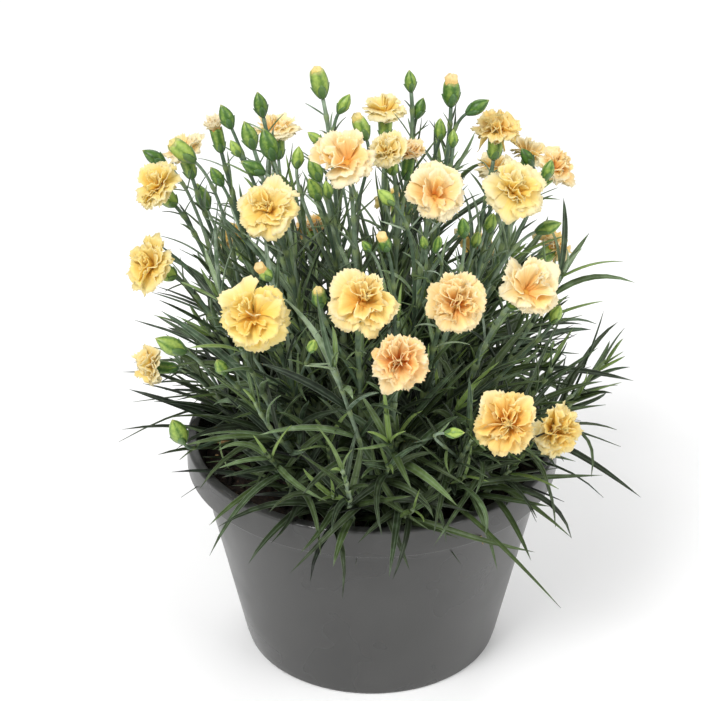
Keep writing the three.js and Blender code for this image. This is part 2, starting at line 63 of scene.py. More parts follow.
# %% [markdown]
# ## One way to make a mesh
# A stem, a leaf, a petal and the pot are all grids of points: rows along the piece and columns
# across or round it. One helper turns a stack of such grids into faces, and another joins such
# stacks into a mesh. Each point also carries a few numbers, such as how far along the petal it
# lies, which its material reads later. Working on whole arrays keeps a thousand leaves quick.
# Lengths are in millimetres from the middle of the pot's rim, and become metres at the very end.

# %% Grids of points to meshes
RIM_HEIGHT = 118.0
UP = np.array([0.0, 0.0, 1.0])


def surface(grid, finish, mark, tint=(0, 0, 0), closed=True):
    """Faces between neighbouring points of grids shaped (how many, rows, columns, 3). In a closed
    one the last column joins the first, and its two end rings are filled. mark and tint are
    three numbers for each point, spread over the grid."""
    many, rows, columns = grid.shape[:3]
    row, column = np.meshgrid(np.arange(rows - 1), np.arange(columns - (not closed)), indexing="ij")
    after = (column + 1) % columns
    cells = np.stack([row * columns + column, row * columns + after,
                      (row + 1) * columns + after, (row + 1) * columns + column], -1)
    first = np.arange(many)[:, None, None] * rows * columns
    faces = [(cells.reshape(1, -1, 4) + first).reshape(-1, 4)]
    if closed:
        ring = np.arange(columns)
        ends = np.stack([ring[::-1], ring + (rows - 1) * columns])
        faces.append((ends[None] + first).reshape(-1, columns))
    spread = [np.broadcast_to(np.asarray(value, float), grid.shape).reshape(-1, 3)
              for value in (mark, tint)]
    return {"points": grid.reshape(-1, 3), "faces": faces, "finish": finish, "notes": spread}


def piece(name, slot, shapes, *nodes):
    """One mesh of several surfaces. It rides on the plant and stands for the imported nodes."""
    finishes = list(dict.fromkeys(shape["finish"] for shape in shapes))
    starts = np.cumsum([0] + [len(shape["points"]) for shape in shapes])
    blocks = [(faces + start, finishes.index(shape["finish"]))
              for shape, start in zip(shapes, starts) for faces in shape["faces"]]
    corners = np.concatenate([faces.ravel() for faces, _ in blocks])
    sides = np.concatenate([np.full(len(faces), faces.shape[1]) for faces, _ in blocks])
    chosen = np.concatenate([np.full(len(faces), finish) for faces, finish in blocks])
    points = np.concatenate([shape["points"] for shape in shapes])
    mesh = bpy.data.meshes.new(name)
    mesh.vertices.add(len(points))
    mesh.vertices.foreach_set("co", ((points + RIM_HEIGHT * UP) / 1000).ravel())
    mesh.loops.add(len(corners))
    mesh.loops.foreach_set("vertex_index", corners)
    mesh.polygons.add(len(sides))
    mesh.polygons.foreach_set("loop_start", np.cumsum(sides) - sides)
    mesh.polygons.foreach_set("material_index", chosen)
    for finish in finishes:
        mesh.materials.append(bpy.data.materials[finish])
    mesh.update(calc_edges=True)
    for place, label in enumerate(("mark", "tint")):
        values = np.concatenate([shape["notes"][place] for shape in shapes])
        mesh.attributes.new(label, "FLOAT_VECTOR", "POINT").data.foreach_set("vector", values.ravel())
    mesh.shade_smooth()
    made = bpy.data.objects.new(name, mesh)
    bpy.context.scene.collection.objects.link(made)
    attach(made, "root")
    if nodes:
        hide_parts(*nodes)
    return made


def unit(vectors):
    """Each vector over its own length."""
    vectors = np.asarray(vectors, float)
    return vectors / np.linalg.norm(vectors, axis=-1, keepdims=True)


def across(axis):
    """X and Y after the shortest turn that takes Z to the axis: with k = 1 / (1 + z), they are
    (1 - kxx, -kxy, -x) and (-kxy, 1 - kyy, -y)."""
    x, y, z = np.moveaxis(np.asarray(axis, float), -1, 0)
    k = 1 / (1 + z)
    both = -k * x * y
    return np.stack([1 - k * x * x, both, -x], -1), np.stack([both, 1 - k * y * y, -y], -1)


def turns(count):
    """Angles spread evenly over a full turn, in radians."""
    return np.arange(count) / count * 2 * np.pi


def spoke(right, forward, turn):
    """The direction at an angle round an axis: right times its cosine, forward times its sine."""
    turn = np.asarray(turn)[..., None]
    return right * np.cos(turn) + forward * np.sin(turn)


# %% [markdown]
# ## Materials
# A colour is given the way a paint chart gives it, as an sRGB hex value, and one function turns it
# into the linear light that Blender mixes. One more function adds a node to a material, so that
# each material below reads like a short recipe.

# %% Colours and nodes
def linear(colour):
    """An sRGB hex colour as linear light: a channel c becomes ((c + 0.055) / 1.055) to the power
    2.4, or c / 12.92 where it is under 0.04045."""
    channels = [int(colour[i:i + 2], 16) / 255 for i in (1, 3, 5)]
    return (*[((c + 0.055) / 1.055) ** 2.4 if c > 0.04045 else c / 12.92 for c in channels], 1.0)


def add(material, kind, inputs=None, **settings):
    """Adds a node with its settings. Each input takes a value, or a link where the value is
    another node's output."""
    tree = material.node_tree
    made = tree.nodes.new("ShaderNode" + kind)
    for name, value in settings.items():
        setattr(made, name, value)
    for key, value in (inputs or {}).items():
        if isinstance(value, bpy.types.NodeSocket):
            tree.links.new(value, made.inputs[key])
        else:
            made.inputs[key].default_value = value
    return made


SHADER = "Principled BSDF"
MIX_FACTOR, MIX_FROM, MIX_TO, MIX_RESULT = 0, 6, 7, 2  # a colour Mix node's sockets


def finish_named(name, **values):
    """A new material whose one shader has these values on its own sockets."""
    material = bpy.data.materials.new(name)
    material.use_nodes = True
    for key, value in values.items():
        material.node_tree.nodes[SHADER].inputs[key.replace("_", " ")].default_value = value
    return material


def wire(material, socket, output):
    """Leads a node's output into a socket of the material's shader."""
    material.node_tree.links.new(output, material.node_tree.nodes[SHADER].inputs[socket])


def bumped(material, height, strength, millimetres):
    """Lets a height shade the surface as bumps of this depth."""
    bump = add(material, "Bump",
               {"Strength": strength, "Distance": millimetres / 1000, "Height": height})
    wire(material, "Normal", bump.outputs[0])


def blended(material, factor, one, other):
    """The colour between one and other, by factor."""
    colours = [linear(c) if isinstance(c, str) else c for c in (one, other)]
    mixed = add(material, "Mix", {MIX_FACTOR: factor, MIX_FROM: colours[0], MIX_TO: colours[1]},
                data_type="RGBA")
    return mixed.outputs[MIX_RESULT]


def ramp(material, value, *stops):
    """A colour ramp over a value. The first and last colours come first, then those between."""
    made = add(material, "ValToRGB", {0: value})
    elements = made.color_ramp.elements
    for i, (position, colour) in enumerate(stops):
        element = elements[i] if i < 2 else elements.new(position)
        element.position, element.color = position, linear(colour)
    return made.outputs[0]


def ranged(material, *values):
    """A value's way from one number to another, carried over to a second pair of numbers."""
    return add(material, "MapRange", dict(enumerate(values))).outputs[0]


def notes_of(material, label):
    """The three numbers that the mesh carries under a label."""
    read = add(material, "Attribute", attribute_name=label)
    return add(material, "SeparateXYZ", {0: read.outputs["Vector"]}).outputs


def sized_noise(material, millimetres, detail=2.0, vector=None):
    """Noise whose blotches are about this many millimetres across."""
    where = vector or add(material, "TexCoord").outputs["Object"]
    scale = 1000 / millimetres if vector is None else 1 / millimetres
    return add(material, "TexNoise", {"Vector": where, "Scale": scale, "Detail": detail}).outputs[0]


def calc(material, operation, *values):
    """A sum, product or other operation on numbers."""
    return add(material, "Math", dict(enumerate(values)), operation=operation).outputs[0]


# %% [markdown]
# ## Leaf and stem
# Carnation leaves and stems are green under a bloom of fine grey wax, which makes them matt and
# blue. Blotches of a few millimetres stand for where the wax is thin or rubbed. The midrib and the
# edges are paler, the foot of a leaf is yellow-green, and so are the youngest leaves. The swollen
# joints of a stem are paler and yellower than what lies between them. Leaves low and deep in the
# bush, and the lower part of each stem, are painted darker as painted shade.

# %% Waxy greens
def waxy_leaf():
    """Colour by wax blotches and the leaf's shade, which is partly its own tone and partly painted
    shade on low and inner leaves; then the young, midrib, edge and foot.
    """
    material = finish_named("waxy_leaf", Roughness=0.52, IOR=1.42)
    along, side, shade = notes_of(material, "mark")
    young = notes_of(material, "tint")[0]
    wax = sized_noise(material, 5.0, 4.0)
    # dark: wax blotches and the leaf's shade, which holds painted shade for leaves low and deep in
    # the bush.
    dark = calc(material, "MULTIPLY_ADD", wax, 0.5, calc(material, "MULTIPLY", shade, 0.75))
    old = ramp(material, dark,
               (0.4, "#040904"), (1.0, "#a4b4a1"), (0.6, "#1b2a18"), (0.78, "#4d6449"))
    fresh = ramp(material, dark, (0.2, "#41602a"), (0.9, "#98b25a"))
    colour = blended(material, young, old, fresh)
    width = calc(material, "ABSOLUTE", side)
    # Painted shade reaches the paler midrib and edge too: they are dimmed where the leaf is dark.
    lit = ranged(material, dark, 0.35, 0.85, 0.1, 1.0)
    rib = ranged(material, width, 0.0, 0.3, 0.5, 0.0)
    edge = ranged(material, width, 0.78, 1.0, 0.0, 0.8)
    for line, pale in ((rib, "#8b9b85"), (edge, "#a9b8a1")):
        colour = blended(material, calc(material, "MULTIPLY", line, lit), colour, pale)
    foot = ranged(material, along, 0.0, 0.15, 0.4, 0.0)
    wire(material, "Base Color", blended(material, foot, colour, "#3f5c28"))
    wire(material, "Roughness", ranged(material, wax, 0.3, 0.7, 0.6, 0.42))


def waxy_stem():
    """Grey blue-green with wax blotches, yellow-green near a joint, and painted darker towards the
    root as painted shade low in the bush.
    """
    material = finish_named("waxy_stem", Roughness=0.5, IOR=1.42)
    joint, height, shade = notes_of(material, "mark")
    wax = sized_noise(material, 4.0, 3.0)
    dark = calc(material, "MULTIPLY_ADD", wax, 0.6, calc(material, "MULTIPLY", shade, 0.45))
    green = ramp(material, dark, (0.2, "#324433"), (0.85, "#93a58d"), (0.5, "#5a6f58"))
    jointed = blended(material, joint, green, "#8b9c5c")
    # Painted shade: the lower three fifths of the stem blend towards a dark green.
    low = ranged(material, height, 0.0, 0.6, 0.6, 0.0)
    wire(material, "Base Color", blended(material, low, jointed, "#1f2e19"))


def bud_skin():
    """The bud's calyx: shiny mid green, paler between its ribs, bluer where bracts cover it, and
    straw yellow at the very tip."""
    material = finish_named("bud_skin", Roughness=0.4, IOR=1.45)
    along, rib, shade = notes_of(material, "mark")
    streak = sized_noise(material, 1.6, 3.0)
    light = calc(material, "MULTIPLY_ADD", rib, 0.3,
                 calc(material, "MULTIPLY_ADD", streak, 0.5, calc(material, "MULTIPLY", shade, 0.4)))
    green = ramp(material, light, (0.15, "#1d3a12"), (0.85, "#a3bb58"), (0.5, "#4a7029"))
    bract = notes_of(material, "tint")[0]
    tip = ranged(material, along, 0.9, 1.0, 0.0, 0.6)
    blue = blended(material, bract, green, "#527449")
    wire(material, "Base Color", blended(material, tip, blue, "#b9b070"))


waxy_leaf()
waxy_stem()
bud_skin()
print("greens:", [m.name for m in bpy.data.materials if m.node_tree])

# %% [markdown]
# ## Petal
# A carnation petal is thin and matt, with a faint velvet, and light shines through it, so the folds
# glow. Its rim is cream, its middle golden yellow or peach, and its foot is a deep orange that
# shows in the throat of the bloom. Two colour ramps run from foot to rim, one for yellow blooms and
# one for apricot ones. Fine veins fan out along the petal; they are drawn about a millimetre apart,
# coarser than real, so that they show.

# %% Petal colours
THROUGH = 0.4  # the share of light that a petal lets through


def petal():
    """Two ramps by the distance from the petal's foot, shifted by veins and by the bloom's depth
    of colour, and mixed by how apricot the bloom is. Two fifths of the light go through."""
    material = finish_named("velvet_petal", Roughness=0.62, IOR=1.4)
    along, side, shade = notes_of(material, "mark")
    apricot, deep, _ = notes_of(material, "tint")
    fan = add(material, "CombineXYZ", {0: calc(material, "MULTIPLY", side, 9.0), 1: along,
                                       2: calc(material, "MULTIPLY", shade, 40.0)}).outputs[0]
    veins = sized_noise(material, 1.0, 3.0, fan)
    shifted = calc(material, "MULTIPLY_ADD", calc(material, "SUBTRACT", veins, 0.5), 0.4, along)
    toned = calc(material, "MULTIPLY_ADD", calc(material, "SUBTRACT", shade, 0.5), 0.22, shifted)
    place = calc(material, "MULTIPLY_ADD", deep, -0.26,
                 calc(material, "MULTIPLY_ADD", toned, 0.88, 0.16))
    yellow = ramp(material, place, (0.0, "#f6bc3c"), (1.0, "#fcf3c8"), (0.2, "#fbd25a"),
                  (0.42, "#fde276"), (0.66, "#fdeb94"), (0.86, "#fdefae"))
    peach = ramp(material, place, (0.0, "#fb9c46"), (1.0, "#fff6dc"), (0.2, "#ffb860"),
                 (0.42, "#ffd186"), (0.66, "#ffe2a4"), (0.86, "#ffedc0"))
    colour = blended(material, apricot, yellow, peach)
    wire(material, "Base Color", colour)
    bumped(material, veins, 0.35, 0.4)
    nodes = material.node_tree.nodes
    glow = add(material, "BsdfTranslucent", {"Color": colour})
    both = add(material, "MixShader",
               {0: THROUGH, 1: nodes[SHADER].outputs[0], 2: glow.outputs[0]})
    material.node_tree.links.new(both.outputs[0], nodes["Material Output"].inputs["Surface"])


petal()

# %% [markdown]
# ## The shoots
# The plant is the same table of shoots from which the solids were made. Each head is a bloom, with
# its diameter, or a bud, with its thickness; then come the place of its middle and the way it
# faces. The first head of a shoot ends the main stem. The others end side stems, which leave the
# main stem at the share "fork" of its length.

# %% Table of shoots
CALYX_LENGTH, BLOOM_MIDDLE, BUD_MIDDLE = 13.0, 5.5, 0.95
CALYX_SHARE, CALYX_LEAST, CALYX_MOST = 0.17, 3.2, 4.5  # its radius by the bloom's width, in mm


def bloom(size, place, aim, fork=0.0):
    """A bloom's seat lies 5.5 mm behind its middle, and its stem ends 13 mm behind the seat."""
    aim, place = unit(aim), np.array(place, float)
    seat = place - BLOOM_MIDDLE * aim
    return {"kind": "bloom", "size": size, "aim": aim, "middle": place, "fork": fork, "seat": seat,
            "calyx": min(CALYX_MOST, max(CALYX_LEAST, CALYX_SHARE * size)),
            "foot": seat - CALYX_LENGTH * aim}


def bud(size, place, aim, fork=0.0):
    """A bud's stem ends 0.95 of the bud's thickness behind its middle."""
    aim, place = unit(aim), np.array(place, float)
    return {"kind": "bud", "size": size, "aim": aim, "middle": place, "fork": fork,
            "foot": place - BUD_MIDDLE * size * aim}


SHOOTS = [
    [bloom(25, [-107, 4, 138], [-6, -3, 9]), bud(7, [-108, 25, 142], [-12, 0, 8], 0.55)],
    [bloom(22, [-96, 48, 139], [-3, 2, 10]), bud(9, [-93, 12, 151], [-9, -1, 9], 0.45)],
    [bloom(12, [-78, 22, 164], [-2, 0, 10])],
    [bud(8, [-60, 8, 161], [-3, 0, 10]), bud(7, [-71, 12, 169], [-4, 0, 10], 0.6)],
    [bud(7, [-55, 25, 170], [-2, 0, 10]), bloom(24, [-50, 79, 137], [-1, 3, 10], 0.25),
     bud(9, [-50, -10, 164], [-3, 0, 10], 0.4)],
    [bloom(27, [-49, -57, 153], [-2, -6, 8]), bud(7, [-57, -26, 159], [-9, -2, 6], 0.6)],
    [bud(7, [-28, -17, 154], [-4, 0, 10]), bud(6, [-36, -14, 159], [1, 0, 10], 0.6),
     bud(7, [-28, -33, 151], [-4, -2, 10], 0.55)],
    [bloom(27, [-13, -45, 173], [-1, -4, 9]), bud(5, [-28, 2, 162], [-7, 0, 6], 0.55)],
    [bud(9, [-26, 14, 186], [-2, 0, 10]), bud(6, [-14, 11, 176], [5, 0, 9], 0.65),
     bud(8, [-6, 14, 163], [-4, 0, 10], 0.55)],
    [bloom(23, [7, 94, 142], [0, 2, 10])],
    [bloom(20, [6, -8, 162], [-2, -3, 9]), bloom(15, [18, 14, 153], [1, 0, 10], 0.55)],
    [bud(6, [18, 28, 181], [-1, 0, 10]), bud(6, [23, 30, 166], [3, 0, 10], 0.65)],
    [bud(9, [38, 26, 177], [0, 0, 10]), bud(7, [51, 24, 169], [9, 0, 6], 0.65),
     bud(6, [33, 25, 157], [0, 0, 10], 0.5)],
    [bloom(27, [28, -59, 161], [1, -6, 8]), bud(6, [5, -66, 162], [-7, -2, 8], 0.55),
     bud(5, [29, -63, 137], [1, -2, 10], 0.6)],
    [bloom(24, [62, 36, 155], [1, 1, 10]), bloom(22, [65, 77, 117], [1, 2, 10], 0.4)],
    [bloom(21, [81, 53, 135], [3, 2, 10]), bud(6, [76, 25, 142], [-5, 0, 8], 0.5)],
    [bloom(20, [92, 12, 144], [7, -1, 8]), bud(6, [84, -4, 148], [3, 0, 10], 0.6)],
    [bloom(30, [67, -36, 153], [3, -5, 8]), bud(7, [84, -20, 125], [9, -1, 4], 0.45)],
    [bloom(26, [37, -103, 127], [2, -7, 6]), bud(6, [41, -58, 143], [-1, -2, 10], 0.4)],
    [bloom(26, [11, -123, 108], [0, -8, 5]), bud(6, [4, -88, 150], [-3, -3, 10], 0.35)],
    [bloom(30, [-5, -112, 133], [1, -7, 7]), bud(7, [-25, -97, 127], [-1, -4, 10], 0.55)],
    [bloom(28, [72, -74, 120], [5, -5, 8]), bud(6, [86, -54, 96], [3, -2, 9], 0.4)],
    [bloom(28, [60, -118, 73], [1, -8, 4]), bloom(26, [88, -84, 50], [5, -7, 5], 0.35),
     bud(5, [36, -122, 71], [9, -3, 2], 0.45)],
    [bloom(32, [-55, -104, 121], [-2, -8, 5]), bud(6, [-51, -64, 123], [-5, -2, 8], 0.5),
     bud(6, [-71, -84, 84], [-3, -4, 9], 0.35)],
    [bloom(28, [-109, -27, 110], [-8, -4, 7])],
    [bloom(20, [-113, -25, 52], [-9, -4, 3]), bud(9, [-97, -50, 77], [-9, -2, 6], 0.4),
     bud(9, [-94, -63, 37], [-3, -3, 10], 0.3)],
    [bloom(25, [-74, 96, 66], [-6, 8, 8]), bud(8, [-88, 70, 100], [-4, 3, 10], 0.45)],
    [bloom(26, [16, 128, 72], [1, 9, 7]), bloom(27, [-34, 122, 58], [-2, 9, 7], 0.35),
     bud(7, [-12, 112, 104], [-1, 3, 10], 0.5)],
    [bloom(27, [60, 110, 54], [4, 8, 7]), bloom(25, [98, 78, 70], [8, 6, 8], 0.35),
     bud(8, [72, 84, 106], [2, 2, 10], 0.5)],
]
# Small late buds on thin stalks, by the number of the shoot that carries them.
LATE_BUDS = {
    3: bud(6, [-76, 4, 141], [-5, 0, 9], 0.6), 4: bud(5, [-66, -8, 161], [-4, 0, 8], 0.7),
    8: bud(5, [-22, -20, 145], [-2, 0, 10], 0.5), 13: bud(5, [39, 18, 155], [0, 0, 10], 0.55),
    14: bud(4, [23, -55, 134], [-2, -2, 10], 0.5), 18: bud(6, [56, -23, 129], [2, -2, 10], 0.5),
    19: bud(5, [49, -27, 122], [2, -2, 10], 0.3), 20: bud(4, [-4, -88, 148], [-5, -3, 8], 0.3),
    24: bud(5, [-28, -106, 107], [2, -4, 8], 0.5),
}
HEADS = [heads + ([LATE_BUDS[number]] if number in LATE_BUDS else [])
         for number, heads in enumerate(SHOOTS, 1)]
kinds = [head["kind"] for heads in HEADS for head in heads]
print("blooms:", kinds.count("bloom"), "buds:", kinds.count("bud"))

# %% [markdown]
# ## Finding the stems again
# A stem is a Bezier curve from its root to its head's foot, which may bow to one side to pass its
# neighbours. The solids chose each bow and each leaf's turn by trial, and here nothing is tried
# again: every choice is worked out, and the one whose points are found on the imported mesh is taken.

# %% Stem paths
ROOT_SHARE, ROOT_SPACING, ROOT_ROUNDS, SOIL_LEVEL = 0.5, 10.0, 80, -16.0
STEM_SIDES, ROOT_RADIUS, TOP_RADIUS, SIDE_RADIUS = 4, 1.9, 1.4, 1.15
BOWS = [0, 9, -9, 18, -18, 27, -27]
PAIRS = [  # share of the stem, leaf length, lean, droop: the pairs of leaves that the solids have
    (0.04, 68, 56, 0.26), (0.14, 70, 44, 0.18), (0.29, 58, 36, 0.1), (0.41, 56, 30, 0.08),
    (0.53, 48, 25, 0.05)]
MAIN_RINGS = [(share, -0.65, ROOT_RADIUS + (TOP_RADIUS - ROOT_RADIUS) * share)
              for share, *_ in PAIRS]  # share of the stem, shift along it in mm, radius
SIDE_RINGS = [(0.5, 0, SIDE_RADIUS)]
SEATED = 0.03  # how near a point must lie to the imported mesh, in mm


def stem_between(root, root_aim, head, bow=0.0):
    """A cubic curve: it leaves its root for a fifth of its reach along root_aim, and ends along
    the head's aim. The bow moves its two inner handles sideways."""
    foot, aim = head["foot"], head["aim"]
    reach = np.linalg.norm(foot - root)
    sideways = unit([foot[1], -foot[0], 0]) * bow
    handles = [root, root + root_aim * 0.2 * reach + sideways,
               foot - aim * 0.22 * reach + sideways, foot]
    return {"reach": reach, "handles": np.array(handles), "root_aim": root_aim, "aim": aim}


def stem_at(stem, station):
    """Points and headings at stations, which are distances past the head's foot. Before the root
    and after the foot the stem runs straight on."""
    station = np.asarray(station, float)[..., None]
    share = np.clip(1 + station / stem["reach"], 0, 1)
    p0, p1, p2, p3 = stem["handles"]
    rest = 1 - share
    point = rest**3 * p0 + 3 * rest**2 * share * p1 + 3 * rest * share**2 * p2 + share**3 * p3
    axis = unit(rest**2 * (p1 - p0) + 2 * rest * share * (p2 - p1) + share**2 * (p3 - p2))
    below = np.minimum(station + stem["reach"], 0)
    point = point + np.maximum(station, 0) * stem["aim"] + below * stem["root_aim"]
    return point, axis


def packed_points(name):
    """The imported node's vertices, in the plant's millimetres."""
    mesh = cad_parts[name].data
    points = np.empty(3 * len(mesh.vertices))
    mesh.vertices.foreach_get("co", points)
    return points.reshape(-1, 3) * 1000 - RIM_HEIGHT * UP


def nearness(points, packed):
    """The distance from each point to the nearest packed one."""
    return np.linalg.norm(points[:, None] - packed[None], axis=-1).min(1)


def bowed_stem(root, root_aim, head, rings, packed):
    """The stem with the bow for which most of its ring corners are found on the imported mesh."""
    share, shift, radius = np.array(rings).T
    best, most = None, -1
    for bow in BOWS:
        stem = stem_between(root, root_aim, head, bow)
        point, axis = stem_at(stem, stem["reach"] * (share - 1) + shift)
        right, forward = across(axis)
        ring = point[:, None] + radius[:, None, None] * spoke(
            right[:, None], forward[:, None], turns(STEM_SIDES))
        found = (nearness(ring.reshape(-1, 3), packed) < SEATED).sum()
        if found > most:
            best, most = stem, found
    return best, most


def root_places():
    """The roots stand under their first heads, half as far out, pushed apart to 10 mm."""
    places = np.array([[*(ROOT_SHARE * shoot[0]["middle"][:2]), SOIL_LEVEL + 1] for shoot in SHOOTS])
    for _ in range(ROOT_ROUNDS):
        for one in range(len(places)):
            for other in range(one):
                away = places[one] - places[other]
                shortfall = ROOT_SPACING - np.linalg.norm(away)
                if shortfall > 0:
                    places[one] += unit(away) * shortfall / 2
                    places[other] -= unit(away) * shortfall / 2
    return places


roots = root_places()
stems, matched = [], []
for number, (heads, root) in enumerate(zip(HEADS, roots), 1):
    packed = packed_points(f"shoot_{number:02d}")
    main, found = bowed_stem(root, UP, heads[0], MAIN_RINGS, packed)
    shoot_stems, matched = [main], matched + [found]
    for head in heads[1:]:
        point, axis = stem_at(main, main["reach"] * (head["fork"] - 1))
        root_aim = unit(axis + unit(head["foot"] - point))
        side, _ = bowed_stem(point, root_aim, head, SIDE_RINGS, packed)
        shoot_stems.append(side)
    stems.append(shoot_stems)
print(f"ring corners found again, of {STEM_SIDES * len(MAIN_RINGS)}:", matched)

# %% [markdown]
# ## Leaves
# A leaf is a narrow ribbon, folded to a shallow V and keeled below, that leaves its stem at an
# angle and bows outward and down. Its midrib is a parabola with a little extra curl at the tip.
# The section has six points, so a leaf costs about fifty faces and the whole bush stays light.

# %% Leaf ribbons
LEAF_CURL = 0.12
LEAF_RINGS = 9
LEAF_SECTION = np.array([  # six points: across, up the fold and down the keel
    [1, 0.42, 0], [0.45, 0.14, 0], [0, 0, 0], [-0.45, 0.14, 0], [-1, 0.42, 0], [0, 0, -1]])
chance = np.random.default_rng(71)


def leaf_starts(stem, share, turn, lean, droop):
    """Where leaves leave a stem: at a share of its length, turned round it by turn, leaning out
    of its heading by lean degrees. The bend is a little outward and droop downward."""
    point, axis = stem_at(stem, stem["reach"] * (np.asarray(share, float) - 1))
    right, forward = across(axis)
    lean = np.radians(np.asarray(lean, float))[..., None]
    out = spoke(right, forward, turn)
    start = axis * np.cos(lean) + out * np.sin(lean)
    bend = out * LEAF_CURL - UP * np.asarray(droop, float)[..., None]
    return point, start, bend, unit(np.cross(axis, out))


def blades(point, start, bend, side, length, width, young, finish="waxy_leaf", tip=0.12):
    """Leaves whose midrib is point + length * (start s + bend s^2 + curl s^3) for s from 0 to 1.
    The half width swells from a clasping foot, stays and closes to a point as 1 - s^3. A leaf's
    shade is half its own random tone and half painted light by how far up and out it grows: leaves
    low and near the middle are painted darker and more alike, as painted shade deep in the bush."""
    many = len(point)
    length, width = np.broadcast_to(length, many)[:, None], np.broadcast_to(width, many)[:, None]
    s = np.linspace(0, 1, LEAF_RINGS)[None]
    curl = np.clip(chance.normal(size=(many, 3)), -1.2, 1.2) * [0.7, 0.7, 0.5] - [0, 0, 0.25]
    curl = tip * curl
    steps = [start[:, None], bend[:, None], curl[:, None]]
    path = sum(step * s[..., None] ** power for power, step in enumerate(steps, 1))
    heading = unit(sum(power * step * s[..., None] ** (power - 1)
                       for power, step in enumerate(steps, 1)))
    upper = unit(np.cross(heading, side[:, None]))
    flat = np.cross(upper, heading)
    twist = (chance.normal(size=(many, 1)) * 0.5 * s)[..., None]
    flat, upper = (flat * np.cos(twist) + upper * np.sin(twist),
                   upper * np.cos(twist) - flat * np.sin(twist))
    half = width / 2 * (0.55 + 0.45 * np.minimum(1, s / 0.25)) * (1 - s**3) ** 0.8 + 0.03
    half = half[..., None]
    over, fold, keel = LEAF_SECTION.T
    middle = (point[:, None] + length[..., None] * path)[:, :, None]
    grid = middle + flat[:, :, None] * (half * over)[..., None] \
        + upper[:, :, None] * (half * fold + (0.16 + 0.22 * half) * keel)[..., None]
    # Painted light and shade: leaves higher and further out are painted lighter, low inner ones
    # darker.
    painted_light_share = 0.75 * np.clip((point[:, 2] - SOIL_LEVEL) / 120, 0, 1) \
        + 0.25 * np.clip(np.hypot(point[:, 0], point[:, 1]) / 80, 0, 1)
    own = chance.random(many) * (0.35 + 0.65 * painted_light_share)
    shade = np.broadcast_to(0.5 * (own + painted_light_share)[:, None, None], grid.shape[:3])
    mark = np.stack([np.broadcast_to(s[..., None], shade.shape),
                     np.broadcast_to(over, shade.shape), shade], -1)
    tint = np.zeros(grid.shape)
    tint[..., 0] = np.broadcast_to(young, many)[:, None, None]
    return surface(grid, finish, mark, tint)


BOX_LOW, BOX_HIGH = np.array(packed_box) * 1000 - RIM_HEIGHT * UP
MOST_LIFT = 0.24  # a leaf that would have to bend up further than this isn't grown
KEPT_FREE = [head for heads in HEADS for head in heads]
HEAD_MIDDLES, HEAD_AIMS = (np.array([head[key] for head in KEPT_FREE])
                           for key in ("middle", "aim"))
HEAD_REACHES = np.array([  # aside, behind and before each head, in mm
    (0.56 * head["size"], 10, 34) if head["kind"] == "bloom"
    else (0.75 * head["size"], *[1.3 * head["size"]] * 2) for head in KEPT_FREE])


def in_a_head(path):
    """Whether any point of a path lies in the round that a bloom or a bud takes up, which
    reaches further before a bloom than behind it."""
    offset = path[:, :, None] - HEAD_MIDDLES
    along = (offset * HEAD_AIMS).sum(-1)
    aside = np.sqrt(np.clip((offset**2).sum(-1) - along**2, 0, None))
    reach = np.where(along > 0, HEAD_REACHES[:, 2], HEAD_REACHES[:, 1])
    return ((aside / HEAD_REACHES[:, 0])**2 + (along / reach)**2 < 1).any((1, 2))


def passing_clear(point, start, bend, length):
    """Leaves that aren't in the solids: each bends up until it passes over the soil and the rim,
    and is shortened where it would leave the plant's own space. Also says which ones can, and
    miss every head."""
    s = np.linspace(0.15, 1, 12)[None, :, None]
    bend, length = bend.copy(), np.array(length, float)
    for _ in range(8):
        path = point[:, None] + length[:, None, None] * (start[:, None] * s + bend[:, None] * s**2)
        outside = ((path < BOX_LOW) | (path > BOX_HIGH)).any((1, 2))
        length = np.where(outside, 0.85 * length, length)
    path = point[:, None] + length[:, None, None] * (start[:, None] * s + bend[:, None] * s**2)
    out = np.hypot(path[..., 0], path[..., 1])
    least = np.interp(out, [82, 87, 97, 104, 140], [SOIL_LEVEL + 2, 4, 4, -10, -2])
    lift = np.clip((least - path[..., 2]) / (length[:, None] * s[..., 0]**2), 0, None).max(1)
    bend[:, 2] += lift
    path[..., 2] += length[:, None] * lift[:, None] * s[..., 0]**2
    return bend, length, (lift < MOST_LIFT) & ~in_a_head(path)


# %% [markdown]
# Five pairs of leaves on each flowering stem are in the solids, and so are the leafy side shoots
# into which some stems fork near the soil. Their turn, droop and length came from a short list and
# a simple generator of draws, so the same list is worked out and whatever has its tip on the
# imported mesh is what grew.

# %% The leaves of the solids
TWISTS = (0, 0.35, -0.35, 0.7, -0.7, 1.05, -1.05)
TRIES = [(cut, droop, twist) for cut in (1, 0.78, 0.56) for droop in (0, -0.22, 0.2)
         for twist in TWISTS]
FORK_SHARE, FORK_TIP = 0.07, 4
FORK_KINDS = [  # rise and choices of reach outward in mm, and the pairs of leaves
    (58, (46, 34, 22), [(0.36, 56, 50, 0.3), (0.68, 50, 42, 0.24), (0.96, 38, 24, 0.12)]),
    (104, (50, 38, 26, 14), [(0.44, 58, 40, 0.16), (0.7, 54, 30, 0.1), (0.96, 42, 18, 0.03)])]


def draws(seed, count):
    """Park and Miller's minimal generator: each state is 16807 times the last, modulo 2^31 - 1."""
    numbers = []
    for _ in range(count):
        seed = seed * 16807 % 2147483647
        numbers.append(seed / 2147483647)
    return numbers


def forked_stem(main, outward, packed):
    """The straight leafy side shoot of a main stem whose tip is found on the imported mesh, with
    its pairs of leaves, or none."""
    point, _ = stem_at(main, main["reach"] * (FORK_SHARE - 1))
    for rise, outs, pairs in FORK_KINDS:
        for out in outs:
            for turn in outward + np.array(TWISTS):
                way = np.array([out * math.cos(turn), out * math.sin(turn), rise])
                stem = stem_between(point, unit(way), {"foot": point + way, "aim": unit(way)})
                if nearness(stem_at(stem, [FORK_TIP])[0], packed)[0] < SEATED:
                    return stem, pairs
    return None, []


